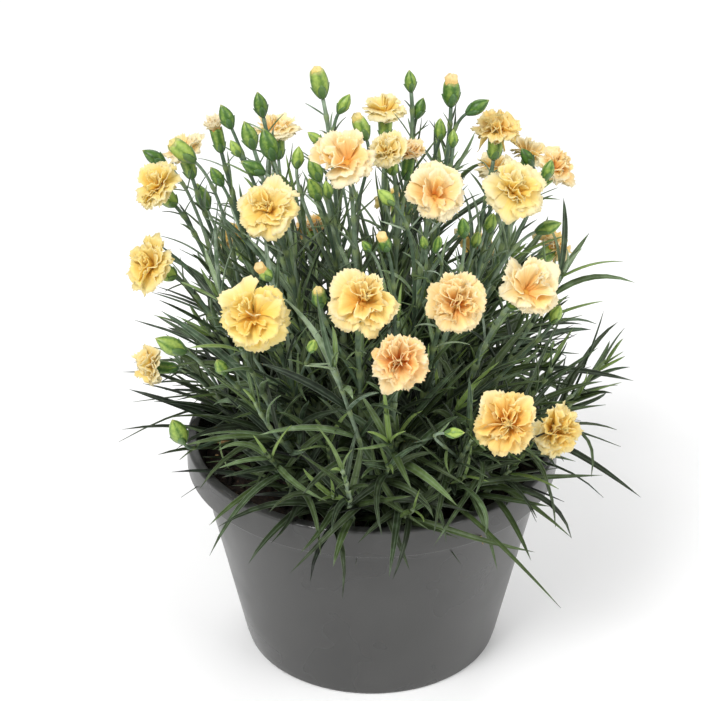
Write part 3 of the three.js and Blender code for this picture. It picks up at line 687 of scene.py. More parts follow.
def grown_leaves(stem, outward, drawn, packed, pairs):
    """For each pair and side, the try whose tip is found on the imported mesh."""
    cuts, droops, twists = np.array(TRIES).T
    grown = []
    for level, (share, size, lean, droop) in enumerate(pairs):
        for side in (0, 1):
            sway, stretch = drawn[4 * level + 2 * side:4 * level + 2 * side + 2]
            turn = outward + level * math.pi / 2 + side * math.pi + 0.5 * (sway - 0.5)
            length = size * (1 + 0.3 * (stretch - 0.5)) * cuts
            leaf = leaf_starts(stem, np.full(len(cuts), share), turn + twists,
                               np.full(len(cuts), lean), droop + droops)
            gap = nearness(leaf[0] + length[:, None] * (leaf[1] + leaf[2]), packed)
            if gap.min() < SEATED:
                best = gap.argmin()
                grown.append([*(part[best] for part in leaf), length[best]])
    return grown


outwards, forks, solid_leaves, fork_leaves = [], [], [], []
for number, (shoot_stems, root) in enumerate(zip(stems, roots), 1):
    first, *drawn = draws(number + 1000, 33)
    outward = math.atan2(root[1], root[0]) + 1.2 * (first - 0.5)
    packed = packed_points(f"shoot_{number:02d}")
    fork, fork_pairs = forked_stem(shoot_stems[0], outward, packed)
    outwards.append(outward)
    forks.append(fork)
    solid_leaves.append(grown_leaves(shoot_stems[0], outward, drawn[:20], packed, PAIRS))
    fork_leaves.append(grown_leaves(fork, outward, drawn[20:], packed, fork_pairs))
print("leaves found again:", sum(map(len, solid_leaves)),
      "leafy side shoots:", sum(fork is not None for fork in forks),
      "with leaves:", sum(map(len, fork_leaves)))

# %% [markdown]
# ## Stems, buds and calyces
# A stem, a bud and a calyx are all sleeves: rings of points carried along one path, with a radius
# for every point. The stem swells at each joint. A bud's sleeve is a pointed egg with five faint
# ribs, clasped by four short bracts, and where it opens, a plug of folded petals fills its mouth.
# Under a bloom the calyx stays as a cup with five teeth.

# %% Sleeves
INTO_HEAD = 0.8


def sleeve(stem, stations, radii, finish, mark, tint=(0, 0, 0)):
    """Rings at stations along a stem. A point lies at its radius, turned evenly round the path."""
    stations, radii = np.broadcast_arrays(stations, radii)
    point, axis = stem_at(stem, stations)
    grid = point + radii[..., None] * spoke(*across(axis), turns(radii.shape[1]))
    return surface(grid[None], finish, np.asarray(mark)[None], tint)


def stem_sleeve(stem, bottom, top, joints, depth, sides=8):
    """The radius runs evenly from bottom to top and swells by two fifths in 2 mm at each joint.
    The sleeve ends 0.8 mm inside the head."""
    rings = np.unique(np.concatenate([np.linspace(-stem["reach"] - depth, INTO_HEAD, 22)] + [
        stem["reach"] * (share - 1) + np.array([-4, -2, -0.5, 1, 3]) for share in joints]))
    rings = rings[rings <= INTO_HEAD]
    share = np.clip(1 + rings / stem["reach"], 0, 1)
    gaps = np.abs(rings[:, None] - stem["reach"] * (np.array(joints) - 1)[None])
    swell = np.exp(-(gaps / 2.2)**2).max(1)
    radius = (bottom + (top - bottom) * share) * (1 + 0.42 * swell)
    mark = np.zeros((len(rings), sides, 3))
    mark[..., 0] = 0.6 * swell[:, None]
    # The way up the stem, by which the stem's material paints shade on its lower part.
    mark[..., 1] = share[:, None]
    mark[..., 2] = chance.random()
    return sleeve(stem, rings[:, None], np.repeat(radius[:, None], sides, 1), "waxy_stem", mark)


def head_marks(rows, ribs, shade):
    """Along the head, over its ribs, and its own shade."""
    rows, ribs = np.broadcast_arrays(rows[:, None], ribs)
    return np.stack([rows, ribs, np.full(rows.shape, shade)], -1)


def bracts(stem, height, radius_at, count, shade):
    """Scales that clasp a head's foot. Each is 0.9 rad to either side at its foot, narrows to a
    point as the root of what is left of its height, and stands 0.3 mm proud at its middle."""
    shapes = []
    t = np.linspace(0, 1, 6)
    u = np.array([-1, -0.5, 0, 0.5, 1, 0.4, -0.4])
    lift = np.array([0.02, 0.24, 0.34, 0.24, 0.02, -0.25, -0.25])
    for k in range(count):
        tall = height * (1 if k % 2 else 0.82)
        turn = 2 * np.pi * (k + 0.13) / count + u * (0.02 + 0.88 * (1 - t[:, None])**0.6)
        station = np.broadcast_to((t * tall)[:, None], turn.shape)
        radius = radius_at(station) + lift + 0.35 * t[:, None]**3
        point, axis = stem_at(stem, station)
        grid = point + radius[..., None] * spoke(*across(axis), turn)
        mark = head_marks(0.5 * t, 2 * np.maximum(lift, 0), shade)
        shapes.append(surface(grid[None], "bud_skin", mark[None], (0.75, 0, 0)))
    return shapes


BUD_ALONG = np.array([0, 0.05, 0.14, 0.26, 0.4, 0.52, 0.66, 0.78, 0.89, 0.96, 1.0])
BUD_THICK = np.array([0.15, 0.21, 0.32, 0.42, 0.485, 0.49, 0.42, 0.31, 0.17, 0.07, 0.01])
CUP_THICK = np.array([0.15, 0.21, 0.3, 0.39, 0.45, 0.48, 0.48, 0.46, 0.43, 0.39, 0.34])
BUD_SIDES, TUFT_SIDES, CALYX_SIDES = 15, 30, 20
BRACTS = 4


def bud_shapes(stem, size, opening, apricot):
    """A bud 1.9 times as long as thick. An opening one is a straighter cup of which the last
    part is cut to five teeth, round a plug of twisted petals."""
    turn = turns(BUD_SIDES)
    shade = chance.random()
    tall = 1.9 * size
    green = tall * (1 - opening)
    thick = (CUP_THICK if opening else BUD_THICK) * size
    ribs = np.cos(5 * turn)
    reach = BUD_ALONG[:, None] * green
    if opening:
        reach = reach + BUD_ALONG[:, None]**4 * 0.12 * tall * (0.5 - np.abs(np.cos(2.5 * turn)))
    radii = thick[:, None] * (1 + 0.035 * ribs * np.sin(np.pi * BUD_ALONG)[:, None])
    marks = head_marks(BUD_ALONG, 0.5 - 0.5 * ribs, shade)
    shapes = [sleeve(stem, reach, radii, "bud_skin", marks)]
    if opening:
        t, around = np.linspace(0, 1, 10)[:, None], turns(TUFT_SIDES)
        folds = np.cos(3 * around + 4 * t) * (0.05 + 0.07 * t) \
            + 0.1 * t * np.cos(7 * around - 2 * t)
        closing = np.sqrt(np.clip(1 - (np.clip(t - 0.75, 0, 1) / 0.25)**2, 0.02, 1))
        tuft = size * (0.34 + (0.95 * opening - 0.22) * t) * closing * (1 + folds * closing)
        height = green * 0.8 + t * tall * (0.12 + opening) \
            + 0.08 * size * t**2 * np.cos(3 * around)
        marks = head_marks(0.3 + 0.6 * t[:, 0], 0.5 * folds / 0.3, 0.5)
        shapes.append(sleeve(stem, height, tuft, "velvet_petal", marks, (apricot, 0.5, 0)))
    skin = lambda station: np.interp(station, BUD_ALONG * green, thick)
    return shapes + bracts(stem, 0.5 * tall, skin, BRACTS, shade)


def calyx_shapes(stem, radius):
    """The cup under a bloom: out from the stem, up 13 mm, over a toothed rim and down inside."""
    rows = np.array([0, 0.06, 0.19, 0.4, 0.69, 0.9, 1.0, 0.96, 0.75, 0.7])
    thick = np.array([0.3, 0.55, 0.78, 0.92, 1.0, 0.99, 1.0, 0.9, 0.85, 0.1])
    turn = turns(CALYX_SIDES)
    at_rim = ((rows > 0.9) & (rows <= 1))[:, None]
    teeth = at_rim * 1.5 * (np.abs(np.cos(2.5 * turn)) - 0.55)
    ribs = np.cos(5 * turn)
    shade = chance.random()
    radii = thick[:, None] * radius * (1 + 0.03 * ribs)
    cup = sleeve(stem, rows[:, None] * CALYX_LENGTH + teeth, radii, "bud_skin",
                 head_marks(0.8 * rows, 0.5 - 0.5 * ribs, shade))
    skin = lambda station: np.interp(station, rows[:7] * CALYX_LENGTH, thick[:7] * radius)
    plug = np.repeat(np.array([[0.8], [0.8], [0.6], [0.1]]) * radius, 12, 1)
    heart = sleeve(stem, np.array([[9.5], [12.4], [13.8], [14.6]]), plug,
                   "velvet_petal", (0.12, 0, 0.5), (0.4, 0.4, 0))
    return [cup, heart] + bracts(stem, 0.46 * CALYX_LENGTH, skin, BRACTS, shade)


def style_shapes(head):
    """The two pale styles in an open throat: threads that rise along the bloom's aim and curl
    away from each other as a sine and a cosine of the way along. Their radius falls from 0.5
    to 0.2 mm."""
    right, forward = across(head["aim"])
    t = np.linspace(0, 1, 9)[None, :, None]
    out = np.stack([right, -0.6 * right + 0.7 * forward])[:, None]
    path = head["seat"] + head["aim"] * 7.5 * np.sin(2.1 * t) \
        + out * (0.6 + 2.2 * (1 - np.cos(2.3 * t)))
    wide, deep = across(unit(np.gradient(path, axis=1)))
    thick = (0.5 - 0.3 * t)[..., None]
    grid = path[:, :, None] + thick * spoke(wide[:, :, None], deep[:, :, None], turns(6))
    return [surface(grid, "velvet_petal", (1.1, 0, 0.9), (0.2, 0, 0))]


# %% [markdown]
# ## The flowering shoots
# Each shoot is dressed as one piece: stems, joints, the leaves that were found again, narrower
# pairs of leaves higher up, and thin ones on the side stems and where they fork.

# %% Dressing the shoots
OPENING_BUDS = {  # by the place of the bud's middle: the share of petals, and how apricot they are
    (-93, 12, 151): (0.12, 0.1), (-26, 14, 186): (0.14, 0.1), (-6, 14, 163): (0.2, 0.2),
    (38, 26, 177): (0.24, 0.8), (4, -88, 150): (0.3, 0.6), (-25, -97, 127): (0.16, 0.2),
    (-51, -64, 123): (0.36, 0.8),
}
UPPER_PAIRS = np.array([  # share of the stem, length, lean, droop, width
    [0.22, 60, 40, 0.14, 4.2], [0.35, 60, 32, 0.1, 3.8], [0.47, 52, 27, 0.06, 3.4],
    [0.63, 38, 23, 0.03, 2.6], [0.73, 28, 26, 0.02, 2.0], [0.84, 18, 34, -0.02, 1.5],
    [0.93, 12, 42, -0.02, 1.2]])
FORK_FILL = np.array([[0.2, 58, 50, 0.34, 4.4], [0.53, 56, 40, 0.24, 4.2], [0.83, 46, 28, 0.12, 3.6]])
FORK_YOUNG = np.array([[0.99, 30, 24, 0.06, 2.8], [1.02, 18, 14, 0.0, 2.0]])
JOINT_YOUNG = np.array([
    [0.29, 12, 24, -0.1, 1.8], [0.42, 15, 20, -0.1, 1.8], [0.54, 12, 22, -0.1, 1.6],
    [0.64, 9, 24, -0.1, 1.4]])
SIDE_PAIRS = np.array([
    [0.04, 30, 30, 0.04, 2.0], [0.4, 20, 36, 0.0, 1.5], [0.75, 13, 44, -0.02, 1.1]])
MAIN_RADII, FORK_RADII, SIDE_RADII = (1.62, 0.95), (1.3, 0.8), (0.95, 0.8)  # foot and top, mm
MAIN_JOINTS = [share for share, *_ in PAIRS] + list(UPPER_PAIRS[:, 0])
FORK_JOINTS, SIDE_JOINTS = [0.2, 0.4, 0.53, 0.69, 0.83, 0.96], [0.0, 0.45, 0.8]
ROOT_DEPTH = 12  # how far a main stem reaches down into the peat, in mm
THIN_STALK, THIN_BUD = 0.8, 5.5  # buds under 5.5 mm stand on stalks of 0.8 the thickness
SHOWS_STYLES = 31  # only a bloom wider than this is open enough to show them, in mm
LEAF_WIDTH = 4.4
ANY_WAY = 6.28  # a full turn, for random headings


def pairs_on(stem, table, outward, young, tip=0.16):
    """Pairs of leaves by a table. Each pair stands square to the one below."""
    many = len(table)
    rows = np.repeat(table, 2, 0)
    turn = outward + np.repeat(np.arange(many) * np.pi / 2, 2) + np.tile([0, np.pi], many)
    turn = turn + chance.normal(size=2 * many) * 0.2
    share, length, lean, droop, width = rows.T
    length = length * chance.uniform(0.75, 1.2, 2 * many)
    lean = lean * chance.uniform(0.8, 1.3, 2 * many)
    point, start, bend, side = leaf_starts(stem, share, turn, lean, droop)
    bend, length, fits = passing_clear(point, start, bend, length)
    point, start, bend, side, length, width = (
        part[fits] for part in (point, start, bend, side, length, width))
    return blades(point, start, bend, side, length, width, young * chance.random(len(point)), tip=tip)


def found_blades(leaves, width):
    """Ribbons over the leaves that were found again in the solids."""
    point, start, bend, side, length = (np.array(part) for part in zip(*leaves))
    young = 0.35 * chance.random(len(length)) ** 2
    taper = np.clip(length / 52, 0.7, 1)
    return blades(point, start, bend, side, length, width * taper, young, tip=0.05)


triangles = 0
plants = zip(HEADS, stems, outwards, solid_leaves, forks, fork_leaves)
for number, (heads, shoot_stems, outward, leaves, fork, forked) in enumerate(plants, 1):
    main = shoot_stems[0]
    shapes = [stem_sleeve(main, *MAIN_RADII, MAIN_JOINTS, ROOT_DEPTH)]
    shapes.append(found_blades(leaves, LEAF_WIDTH))
    shapes.append(pairs_on(main, UPPER_PAIRS, outward + np.pi / 4, 0.3))
    shapes.append(pairs_on(main, JOINT_YOUNG, chance.uniform(0, ANY_WAY), 1.2))
    if fork:
        shapes.append(stem_sleeve(fork, *FORK_RADII, FORK_JOINTS, 0, 6))
        shapes.append(found_blades(forked, LEAF_WIDTH))
        shapes.append(pairs_on(fork, FORK_FILL, outward + np.pi / 4, 0.3, 0.26))
        shapes.append(pairs_on(fork, FORK_YOUNG, outward, 1.0))
    for head, stem in zip(heads, shoot_stems):
        if stem is not main:
            thin = THIN_STALK if head["size"] < THIN_BUD else 1.0
            shapes.append(stem_sleeve(stem, *(thin * radius for radius in SIDE_RADII),
                                      SIDE_JOINTS, 0))
            shapes.append(pairs_on(stem, SIDE_PAIRS, chance.uniform(0, ANY_WAY), 0.5))
        if head["kind"] == "bloom":
            shapes += calyx_shapes(stem, head["calyx"])
            shapes += style_shapes(head) if head["size"] > SHOWS_STYLES else []
        else:
            share, apricot = OPENING_BUDS.get(tuple(head["middle"].astype(int)), (0, 0))
            shapes += bud_shapes(stem, head["size"], share, apricot)
    made = piece(f"flowering_shoot_{number:02d}", "foliage", shapes, f"shoot_{number:02d}")
    made.data.calc_loop_triangles()
    triangles += len(made.data.loop_triangles)
print("flowering shoots:", len(HEADS), "triangles:", triangles)

# %% [markdown]
# ## Blooms
# A double carnation is a tuft of petals, here 15 to 25, out of one tube. Each has a narrow claw
# that goes straight up the tube, an arc that turns it outward, and a fan-shaped limb with a toothed
# rim. The outermost ring lies almost flat, each ring further in stands steeper, and the innermost
# petals are upright and crumpled. So one formula makes them all, with a turn, a length and a ruffle
# for every petal, and Solidify gives the sheets their thickness.

# %% Petal grids
RINGS = [  # petals, turn outward in degrees, reach and foot as shares, fan in rad, ruffle in mm
    (5, 92, 1.04, 0.84, 0.74, 1.5), (5, 76, 0.96, 0.70, 0.84, 2.0), (5, 58, 0.86, 0.50, 0.92, 2.6),
    (4, 40, 0.72, 0.34, 1.05, 3.0), (3, 22, 0.52, 0.24, 1.20, 2.2), (3, 12, 0.36, 0.16, 1.30, 0.9),
]
SHAKEN = (0.22, 0.3, 0.45, 0.6, 0.7, 0.7)  # how unevenly the petals of each ring stand, in rad
LOPSIDED = 20  # degrees by which the near side of a bloom lies flatter, and the far one steeper
FAR_SIDE = np.array([0, 1, 0.6])  # the petals on this side stand up, like a fan behind the throat
CLAW, ARC = 2.6, 2.8  # the claw's length in the tube, and the radius of the turn
PETAL_THICKNESS = 0.00022  # in metres
BLOOM_SEED = 400
PLAIN_LOOK = (len(RINGS), LOPSIDED, 1, 0.09)
# Blooms 2, 3, 4, 12 and 13 stand at the back, and their depth under nought makes them paler: partly
# their own colour, partly painted light that lifts the shade on their seen side.
BLOOM_LOOKS = [  # how apricot, deep and open; for some also rings, lopsidedness, crumpling, fan
    (0.1, 0.4, 1, 6, 25, 0.7), (0.7, -0.2, 1, 4, 40, 0.5), (0.9, -0.3, 0.25, 3, 10, 0.3),
    (0.65, -0.1, 1, 4, 40, 0.5), (0.15, 0.45, 1, 6, 25, 0.8), (0.75, 0.25, 1, 4, 30, 0.7, 0.3),
    (0.15, 0.0, 1, 4, 30, 0.5), (0.2, 0.1, 0.75, 6, 35, 0.75), (0.95, 0.35, 0.75, 5, 20, 0.6),
    (0.75, 0.1, 1, 4, 30, 0.5, 0.38), (0.35, 0.75, 0.9, 6, 20, 1.4), (0.5, -0.3, 1, 4, 40, 0.6),
    (0.55, -0.2, 1, 4, 40, 0.6), (0.8, 0.4, 1), (0.1, 0.25, 1, 6, 35, 0.8), (0.75, 0.6, 1, 6, 26),
    (0.95, 0.8, 1), (0.3, 0.55, 1, 5, 38), (0.7, 0.1, 1, 4, 32, 0.5, 0.38), (0.4, 0.9, 1, 6, 20, 1.5),
    (0.2, 0.8, 1, 6, 20, 1.35), (0.04, 0.7, 1, 4, 30), (0.1, 0.5, 1, 6, 20, 0.7), (0.3, 0.2, 1),
    (0.3, 0.4, 1), (0.1, 0.4, 1), (0.7, 0.4, 1), (0.2, 0.5, 1), (0.5, 0.4, 1),
]


def petal_ring(head, ring, shaken, opened, slant, lopsided, longer, rows, columns, dice):
    """Petals of one ring. Along the petal the midline goes up the claw, round an arc of 2.8 mm
    and straight on. Across it, points are turned round the bloom's axis by u times the fan.
    Ruffles are two sine waves across, which grow with the square of the distance from the foot,
    and a third, finer one that crimps the rim.
    Each point of the rim stands a little in or out, which makes the teeth, and each petal lifts
    one side and cups in its own way. Petals on the far side are longer by the given share."""
    many, tilt, reach, foot, fan, ruffle = ring
    scale = (head["size"] / 28) ** 0.7
    roll = lambda spread: dice.normal(size=(many, 1, 1)) * spread
    turn = turns(many)[:, None, None] + dice.uniform(0, ANY_WAY) + roll(shaken)
    flatter = np.cos(turn - slant)
    tilt = np.radians(np.clip(tilt * opened + roll(30 * shaken) + lopsided * flatter, 4, 112))
    base = foot * (head["calyx"] - 0.6)
    target = 0.5 * head["size"] * reach * (0.55 + 0.45 * opened)
    arc = ARC * scale
    limb = (target - base - arc * (1 - np.cos(tilt))) / np.maximum(np.sin(tilt), 0.2)
    limb = np.maximum(np.clip(limb, 2, 9.4 * scale), 9.2 * scale - 4 * tilt)
    limb = limb * (1 + np.clip(roll(0.13), -0.25, 0.14) - longer * flatter)
    whole = CLAW + arc * tilt + limb
    v, u = np.linspace(0, 1, rows)[None, :, None], np.linspace(-1, 1, columns)[None, None]
    teeth = dice.normal(size=(many, 1, columns)) * 0.38 + 0.26 * (-1) ** np.arange(columns)
    deep = 0.05 + roll(0.03)
    lobes = 1 - 0.2 * np.abs(u) ** 2.5 \
        + deep * np.cos(4 * u + dice.uniform(0, ANY_WAY, (many, 1, 1)))
    b = whole * v * (1 + v**2 * (lobes - 1)) + teeth * v**8
    turned = np.clip((b - CLAW) / arc, 0, tilt)
    straight = np.maximum(b - CLAW - arc * tilt, 0)
    phase, second, third = dice.uniform(0, ANY_WAY, (3, many, 1, 1))
    wave = np.sin((3.4 + roll(0.6)) * u + phase) + 0.45 * np.sin((7.5 + roll(1)) * u + second)
    lift, cup = 0.7 + roll(0.9), roll(1.0) - 0.5 * np.sin(tilt)
    frill = 0.3 * v**4 * np.sin((14 + roll(1.5)) * u + third)
    out = ruffle * (1 + roll(0.3)) * scale * v**2.2 * (wave + frill) \
        + (lift * u + cup * u**2) * v**2
    out = out - 1.3 * scale * v**4 * (tilt > 1.2)
    radial = base + arc * (1 - np.cos(turned)) + straight * np.sin(tilt) - np.cos(turned) * out
    height = np.minimum(b, CLAW) - CLAW + arc * np.sin(turned) + straight * np.cos(tilt) \
        + np.sin(turned) * out
    turn = turn + u * fan * (0.45 + 0.55 * v) * (1.25 - 0.25 * opened)
    grid = np.stack([radial * np.cos(turn), radial * np.sin(turn), height + 0 * turn], -1)
    shade = np.broadcast_to(dice.random((many, 1, 1)), grid.shape[:3])
    mark = np.stack([np.broadcast_to(v, shade.shape), np.broadcast_to(u, shade.shape), shade], -1)
    return grid, mark


def bloom_shapes(head, look, seed):
    """All rings of one bloom, turned to face along the head's aim and set on its seat."""
    apricot, deep, opened, rings, lopsided, crumple, longer = look + PLAIN_LOOK[len(look) - 3:]
    dice = np.random.default_rng(seed)
    right, forward = across(head["aim"])
    slant = math.atan2(-FAR_SIDE @ forward, -FAR_SIDE @ right) + dice.normal() * 0.5
    shapes = []
    for i, ring in enumerate(RINGS[:rings]):
        rows, columns = (10, 29) if i < 3 else (9, 21)
        ring = (*ring[:-1], ring[-1] * crumple)
        grid, mark = petal_ring(head, ring, SHAKEN[i] * crumple, opened, slant, lopsided, longer,
                                rows, columns, dice)
        placed = head["seat"] + grid @ np.stack([right, forward, head["aim"]])
        # Each ring further in takes a deeper colour: partly the flower's own deeper heart, partly
        # painted shade and glow of the folds in the throat.
        inner = deep + 0.2 * (i - 1.5)
        shapes.append(surface(placed, "velvet_petal", mark, (apricot, inner, 0), closed=False))
    return shapes


flowers = [head for heads in HEADS for head in heads if head["kind"] == "bloom"]
for number, (head, look) in enumerate(zip(flowers, BLOOM_LOOKS), 1):
    made = piece(f"petals_{number:02d}", "petals", bloom_shapes(head, look, BLOOM_SEED + number),
                 f"bloom_{number:02d}")
    wall = made.modifiers.new("petal_thickness", "SOLIDIFY")
    wall.thickness, wall.offset = PETAL_THICKNESS, 0
print("blooms:", len(flowers), "most petals in one:", sum(ring[0] for ring in RINGS))

# %% [markdown]
# ## Leafy shoots
# Between the flowering stems the plant is full of shorter shoots without flowers, and their leaves
# make the dense cushion over the pot. They stand on a sunflower spiral, so that they fill the soil
# evenly: each next one is turned by the golden angle, and its distance grows with the square root
# of its number. The further out one stands, the more it leans over the rim. Two places stay bare:
# at the left the peat lies open, and at the right the bush is thin.

# %% Filling the bush
LEAFY, TALL, GROUPS = 60, 16, 5
BARE = [((-95, -40), (-68, 26)), ((46, 95), (-12, 48))]  # places without them: across, then deep
LEAFY_REACH = 80.0
GOLDEN_ANGLE = math.pi * (3 - math.sqrt(5))
TUFT_PAIRS = np.array([  # share of the shoot, length, lean, droop, width
    [0.05, 58, 60, 0.4, 3.8], [0.18, 66, 56, 0.4, 4.1], [0.33, 66, 50, 0.34, 4.1],
    [0.48, 60, 45, 0.3, 3.8], [0.62, 52, 40, 0.24, 3.5], [0.76, 42, 34, 0.18, 3.2],
    [0.88, 30, 27, 0.1, 2.7], [0.97, 18, 18, 0.0, 1.9]])
TALL_PAIRS = np.array([
    [0.12, 60, 48, 0.2, 4.2], [0.26, 62, 38, 0.14, 4.0], [0.4, 58, 30, 0.1, 3.6],
    [0.53, 54, 25, 0.06, 3.3], [0.66, 48, 22, 0.04, 2.9], [0.78, 42, 19, 0.02, 2.6],
    [0.89, 32, 16, 0.0, 2.2], [0.98, 22, 12, 0.0, 1.8]])


def leafy_shoot(number, many, least, most, table, tip):
    """A stem with pairs of leaves by a table, the last of them young. Nothing where the place
    is bare."""
    share = math.sqrt((number + 0.5) / many)
    turn = number * GOLDEN_ANGLE
    direction = np.array([math.cos(turn), math.sin(turn), 0])
    tall = chance.uniform(least, most) * (1 - 0.35 * share**2)
    aim = unit(direction * 1.1 * share**2 + UP + chance.normal(size=3) * 0.12)
    root = direction * LEAFY_REACH * share + (SOIL_LEVEL + 0.5) * UP
    if any(all(low < place < high for place, (low, high) in zip(root, sides)) for sides in BARE):
        return []
    lean = direction * 0.75 * share + UP + chance.normal(size=3) * [0.12, 0.12, 0]
    foot = root + tall * unit(lean)
    stem = stem_between(root, UP, {"foot": foot, "aim": aim})
    shapes = [stem_sleeve(stem, 1.5, 0.8, list(table[:, 0]), 3, 6)]
    table = table[chance.integers(0, 2):]
    shapes.append(pairs_on(stem, table[:-2], chance.uniform(0, ANY_WAY), 0.28, tip))
    shapes.append(pairs_on(stem, table[-2:], chance.uniform(0, ANY_WAY), 1.1))
    return shapes


for label, many, least, most, table, tip in (("low", LEAFY, 48, 92, TUFT_PAIRS, 0.3),
                                             ("tall", TALL, 90, 140, TALL_PAIRS, 0.16)):
    tufts = [leafy_shoot(number, many, least, most, table, tip) for number in range(many)]
    for group in range(GROUPS):
        shapes = [shape for tuft in tufts[group::GROUPS] for shape in tuft]
        piece(f"{label}_leafy_shoots_{group + 1}", "foliage", shapes)
    print(label, "leafy shoots:", sum(map(bool, tufts)), "of", many, "places")

# %% [markdown]
# ## Pot
# A grower's pot is thin dark grey polypropylene, moulded in one shot: a tapered wall, a taller
# thicker collar that lets pots nest without jamming, and drain holes in the base. It is one profile
# turned round the axis, with its corners rounded. The plastic is satin, with a slight orange peel.

# %% Pot and its plastic
POT_SIDES = 128


def pot_plastic():
    """Dark grey with a slight orange peel of 0.8 mm and a thin dusty film in soft clouds."""
    material = finish_named("moulded_pot_plastic", Roughness=0.35, IOR=1.5)
    dust = sized_noise(material, 40.0, 2.0)
    film = ranged(material, dust, 0.2, 0.8, 0.0, 0.22)
    wire(material, "Base Color", blended(material, film, "#373736", "#5e5e5c"))
    bumped(material, sized_noise(material, 0.8, 2.0), 0.25, 0.2)
    wire(material, "Roughness", ranged(material, dust, 0.3, 0.7, 0.22, 0.38))


def turned(profile, sides, finish):
    """A profile of [radius, height] carried round the axis. It starts and ends near the axis."""
    radius, height = np.array(profile, float).T
    turn = turns(sides)
    radius, height = np.repeat(radius[:, None], sides, 1), np.repeat(height[:, None], sides, 1)
    grid = np.stack([radius * np.cos(turn), radius * np.sin(turn), height], -1)
    return surface(grid[None], finish, np.stack([height, radius, 0 * height], -1))


def rounded(corner, radius, first, last, steps=4):
    """Points on a quarter round about a centre, from angle first to last, in degrees."""
    angles = np.radians(np.linspace(first, last, steps))
    return [[corner[0] + radius * math.cos(a), corner[1] + radius * math.sin(a)] for a in angles]


POT_RADIUS, BASE_RADIUS, WALL, COLLAR, LIP = 95, 66, 2.2, 15, 3.2
DRAIN_HOLES, DRAIN_RADIUS, DRAIN_SHARE = 6, 5, 0.72  # their ring lies at a share of the base
ON_AXIS = 0.01  # a profile's nearest radius to the axis
slope = (POT_RADIUS - LIP - BASE_RADIUS) / RIM_HEIGHT
wall_heights = (6, 25, 50, 75, 95, RIM_HEIGHT - COLLAR - 1)
outside = [[ON_AXIS, -RIM_HEIGHT], [BASE_RADIUS - 8, -RIM_HEIGHT]]
outside += rounded((BASE_RADIUS - 1.6, 1.6 - RIM_HEIGHT), 1.6, -90, -8)
outside += [[BASE_RADIUS + slope * height, height - RIM_HEIGHT] for height in wall_heights]
outside += [[BASE_RADIUS + slope * (RIM_HEIGHT - COLLAR - 0.4) + 0.4, -COLLAR - 0.4],
            [POT_RADIUS - 1.2, -COLLAR]]
outside += rounded((POT_RADIUS - 1, 1 - COLLAR), 1, -80, 0) + [[POT_RADIUS, -8]]
outside += rounded((POT_RADIUS - 1.5, -1.5), 1.5, 0, 90, 6)
inside_top = POT_RADIUS - LIP - WALL
inside = rounded((inside_top + 0.8, -0.8), 0.8, 90, 180) + [[inside_top - slope * 20, -20]]
inside += [[BASE_RADIUS - WALL + slope * WALL, WALL - RIM_HEIGHT], [ON_AXIS, WALL - RIM_HEIGHT]]

pot_plastic()
pot = piece("moulded_pot", "pot", [turned(outside + inside, POT_SIDES, "moulded_pot_plastic")], "pot")
drill = []
for turn in turns(DRAIN_HOLES):
    low, high = -RIM_HEIGHT - 3, -RIM_HEIGHT + 6
    hole = turned([[ON_AXIS, low], [DRAIN_RADIUS, low], [DRAIN_RADIUS, high], [ON_AXIS, high]], 24,
                  "moulded_pot_plastic")
    hole["points"] += DRAIN_SHARE * BASE_RADIUS * np.array([math.cos(turn), math.sin(turn), 0])
    drill.append(hole)
drills = piece("drills", "pot", drill)
cut = pot.modifiers.new("drain_holes", "BOOLEAN")
cut.operation, cut.object, cut.solver = "DIFFERENCE", drills, "EXACT"
bpy.context.view_layer.update()
graph = bpy.context.evaluated_depsgraph_get()
drained = bpy.data.meshes.new_from_object(pot.evaluated_get(graph))
pot.modifiers.clear()
pot.data = drained
bpy.data.objects.remove(drills)
pot.data.set_sharp_from_angle(angle=math.radians(38))
print("pot faces:", len(pot.data.polygons))

# %% [markdown]
# ## Peat
# The soil is nearly black peat, rough all over, with crumbs and a few bits of bark on top. The
# ground is one turned profile whose top is shaken up and then smoothed once, and the crumbs are
# small squashed lumps that sit half sunk in it. A few dead leaves lie on it, dry and tan.

# %% Peat, crumbs and dead leaves
def peat():
    """Almost black, with brown fibres in blotches of 3 mm, and as matt as can be."""
    material = finish_named("damp_peat", Roughness=0.95, IOR=1.4)
    fibre = sized_noise(material, 3.0, 6.0)
    wire(material, "Base Color",
         ramp(material, fibre, (0.35, "#15100d"), (0.75, "#4a382a"), (0.55, "#261c15")))
    bumped(material, fibre, 0.9, 1.0)


def dead_leaf():
    """A dead leaf is dry and papery: tan, paler at the edges."""
    material = finish_named("dead_leaf", Roughness=0.7, IOR=1.4)
    side = calc(material, "ABSOLUTE", notes_of(material, "mark")[1])
    spots = sized_noise(material, 2.5, 4.0)
    brown = blended(material, spots, "#7d5c36", "#b99662")
    edge = calc(material, "MULTIPLY", side, 0.5)
    wire(material, "Base Color", blended(material, edge, brown, "#cdb487"))


SOIL_ROWS, SOIL_SIDES = 42, 160
peat()
dead_leaf()
soil_edge = inside_top - slope * -SOIL_LEVEL - 0.5
steps = np.linspace(0, 1, SOIL_ROWS)
top = [[max(ON_AXIS, soil_edge * step), SOIL_LEVEL] for step in steps[::-1]]
bottom = [[ON_AXIS, 3 - RIM_HEIGHT], [BASE_RADIUS - WALL - 0.6, 3 - RIM_HEIGHT]]
ground = turned(bottom + top, SOIL_SIDES, "damp_peat")
shake = chance.normal(size=(SOIL_ROWS, SOIL_SIDES)) * 1.5
shake = (shake + np.roll(shake, 1, 1) + np.roll(shake, -1, 1) + np.roll(shake, 1, 0)) / 2.6
shake[[0, -1]] = 0
heights = ground["points"].reshape(-1, SOIL_SIDES, 3)
heights[len(bottom):, :, 2] += np.clip(shake, -1.6, 1.4)
piece("peat", "soil", [ground], "soil")

LUMP_ROWS, LUMP_SIDES = 5, 7


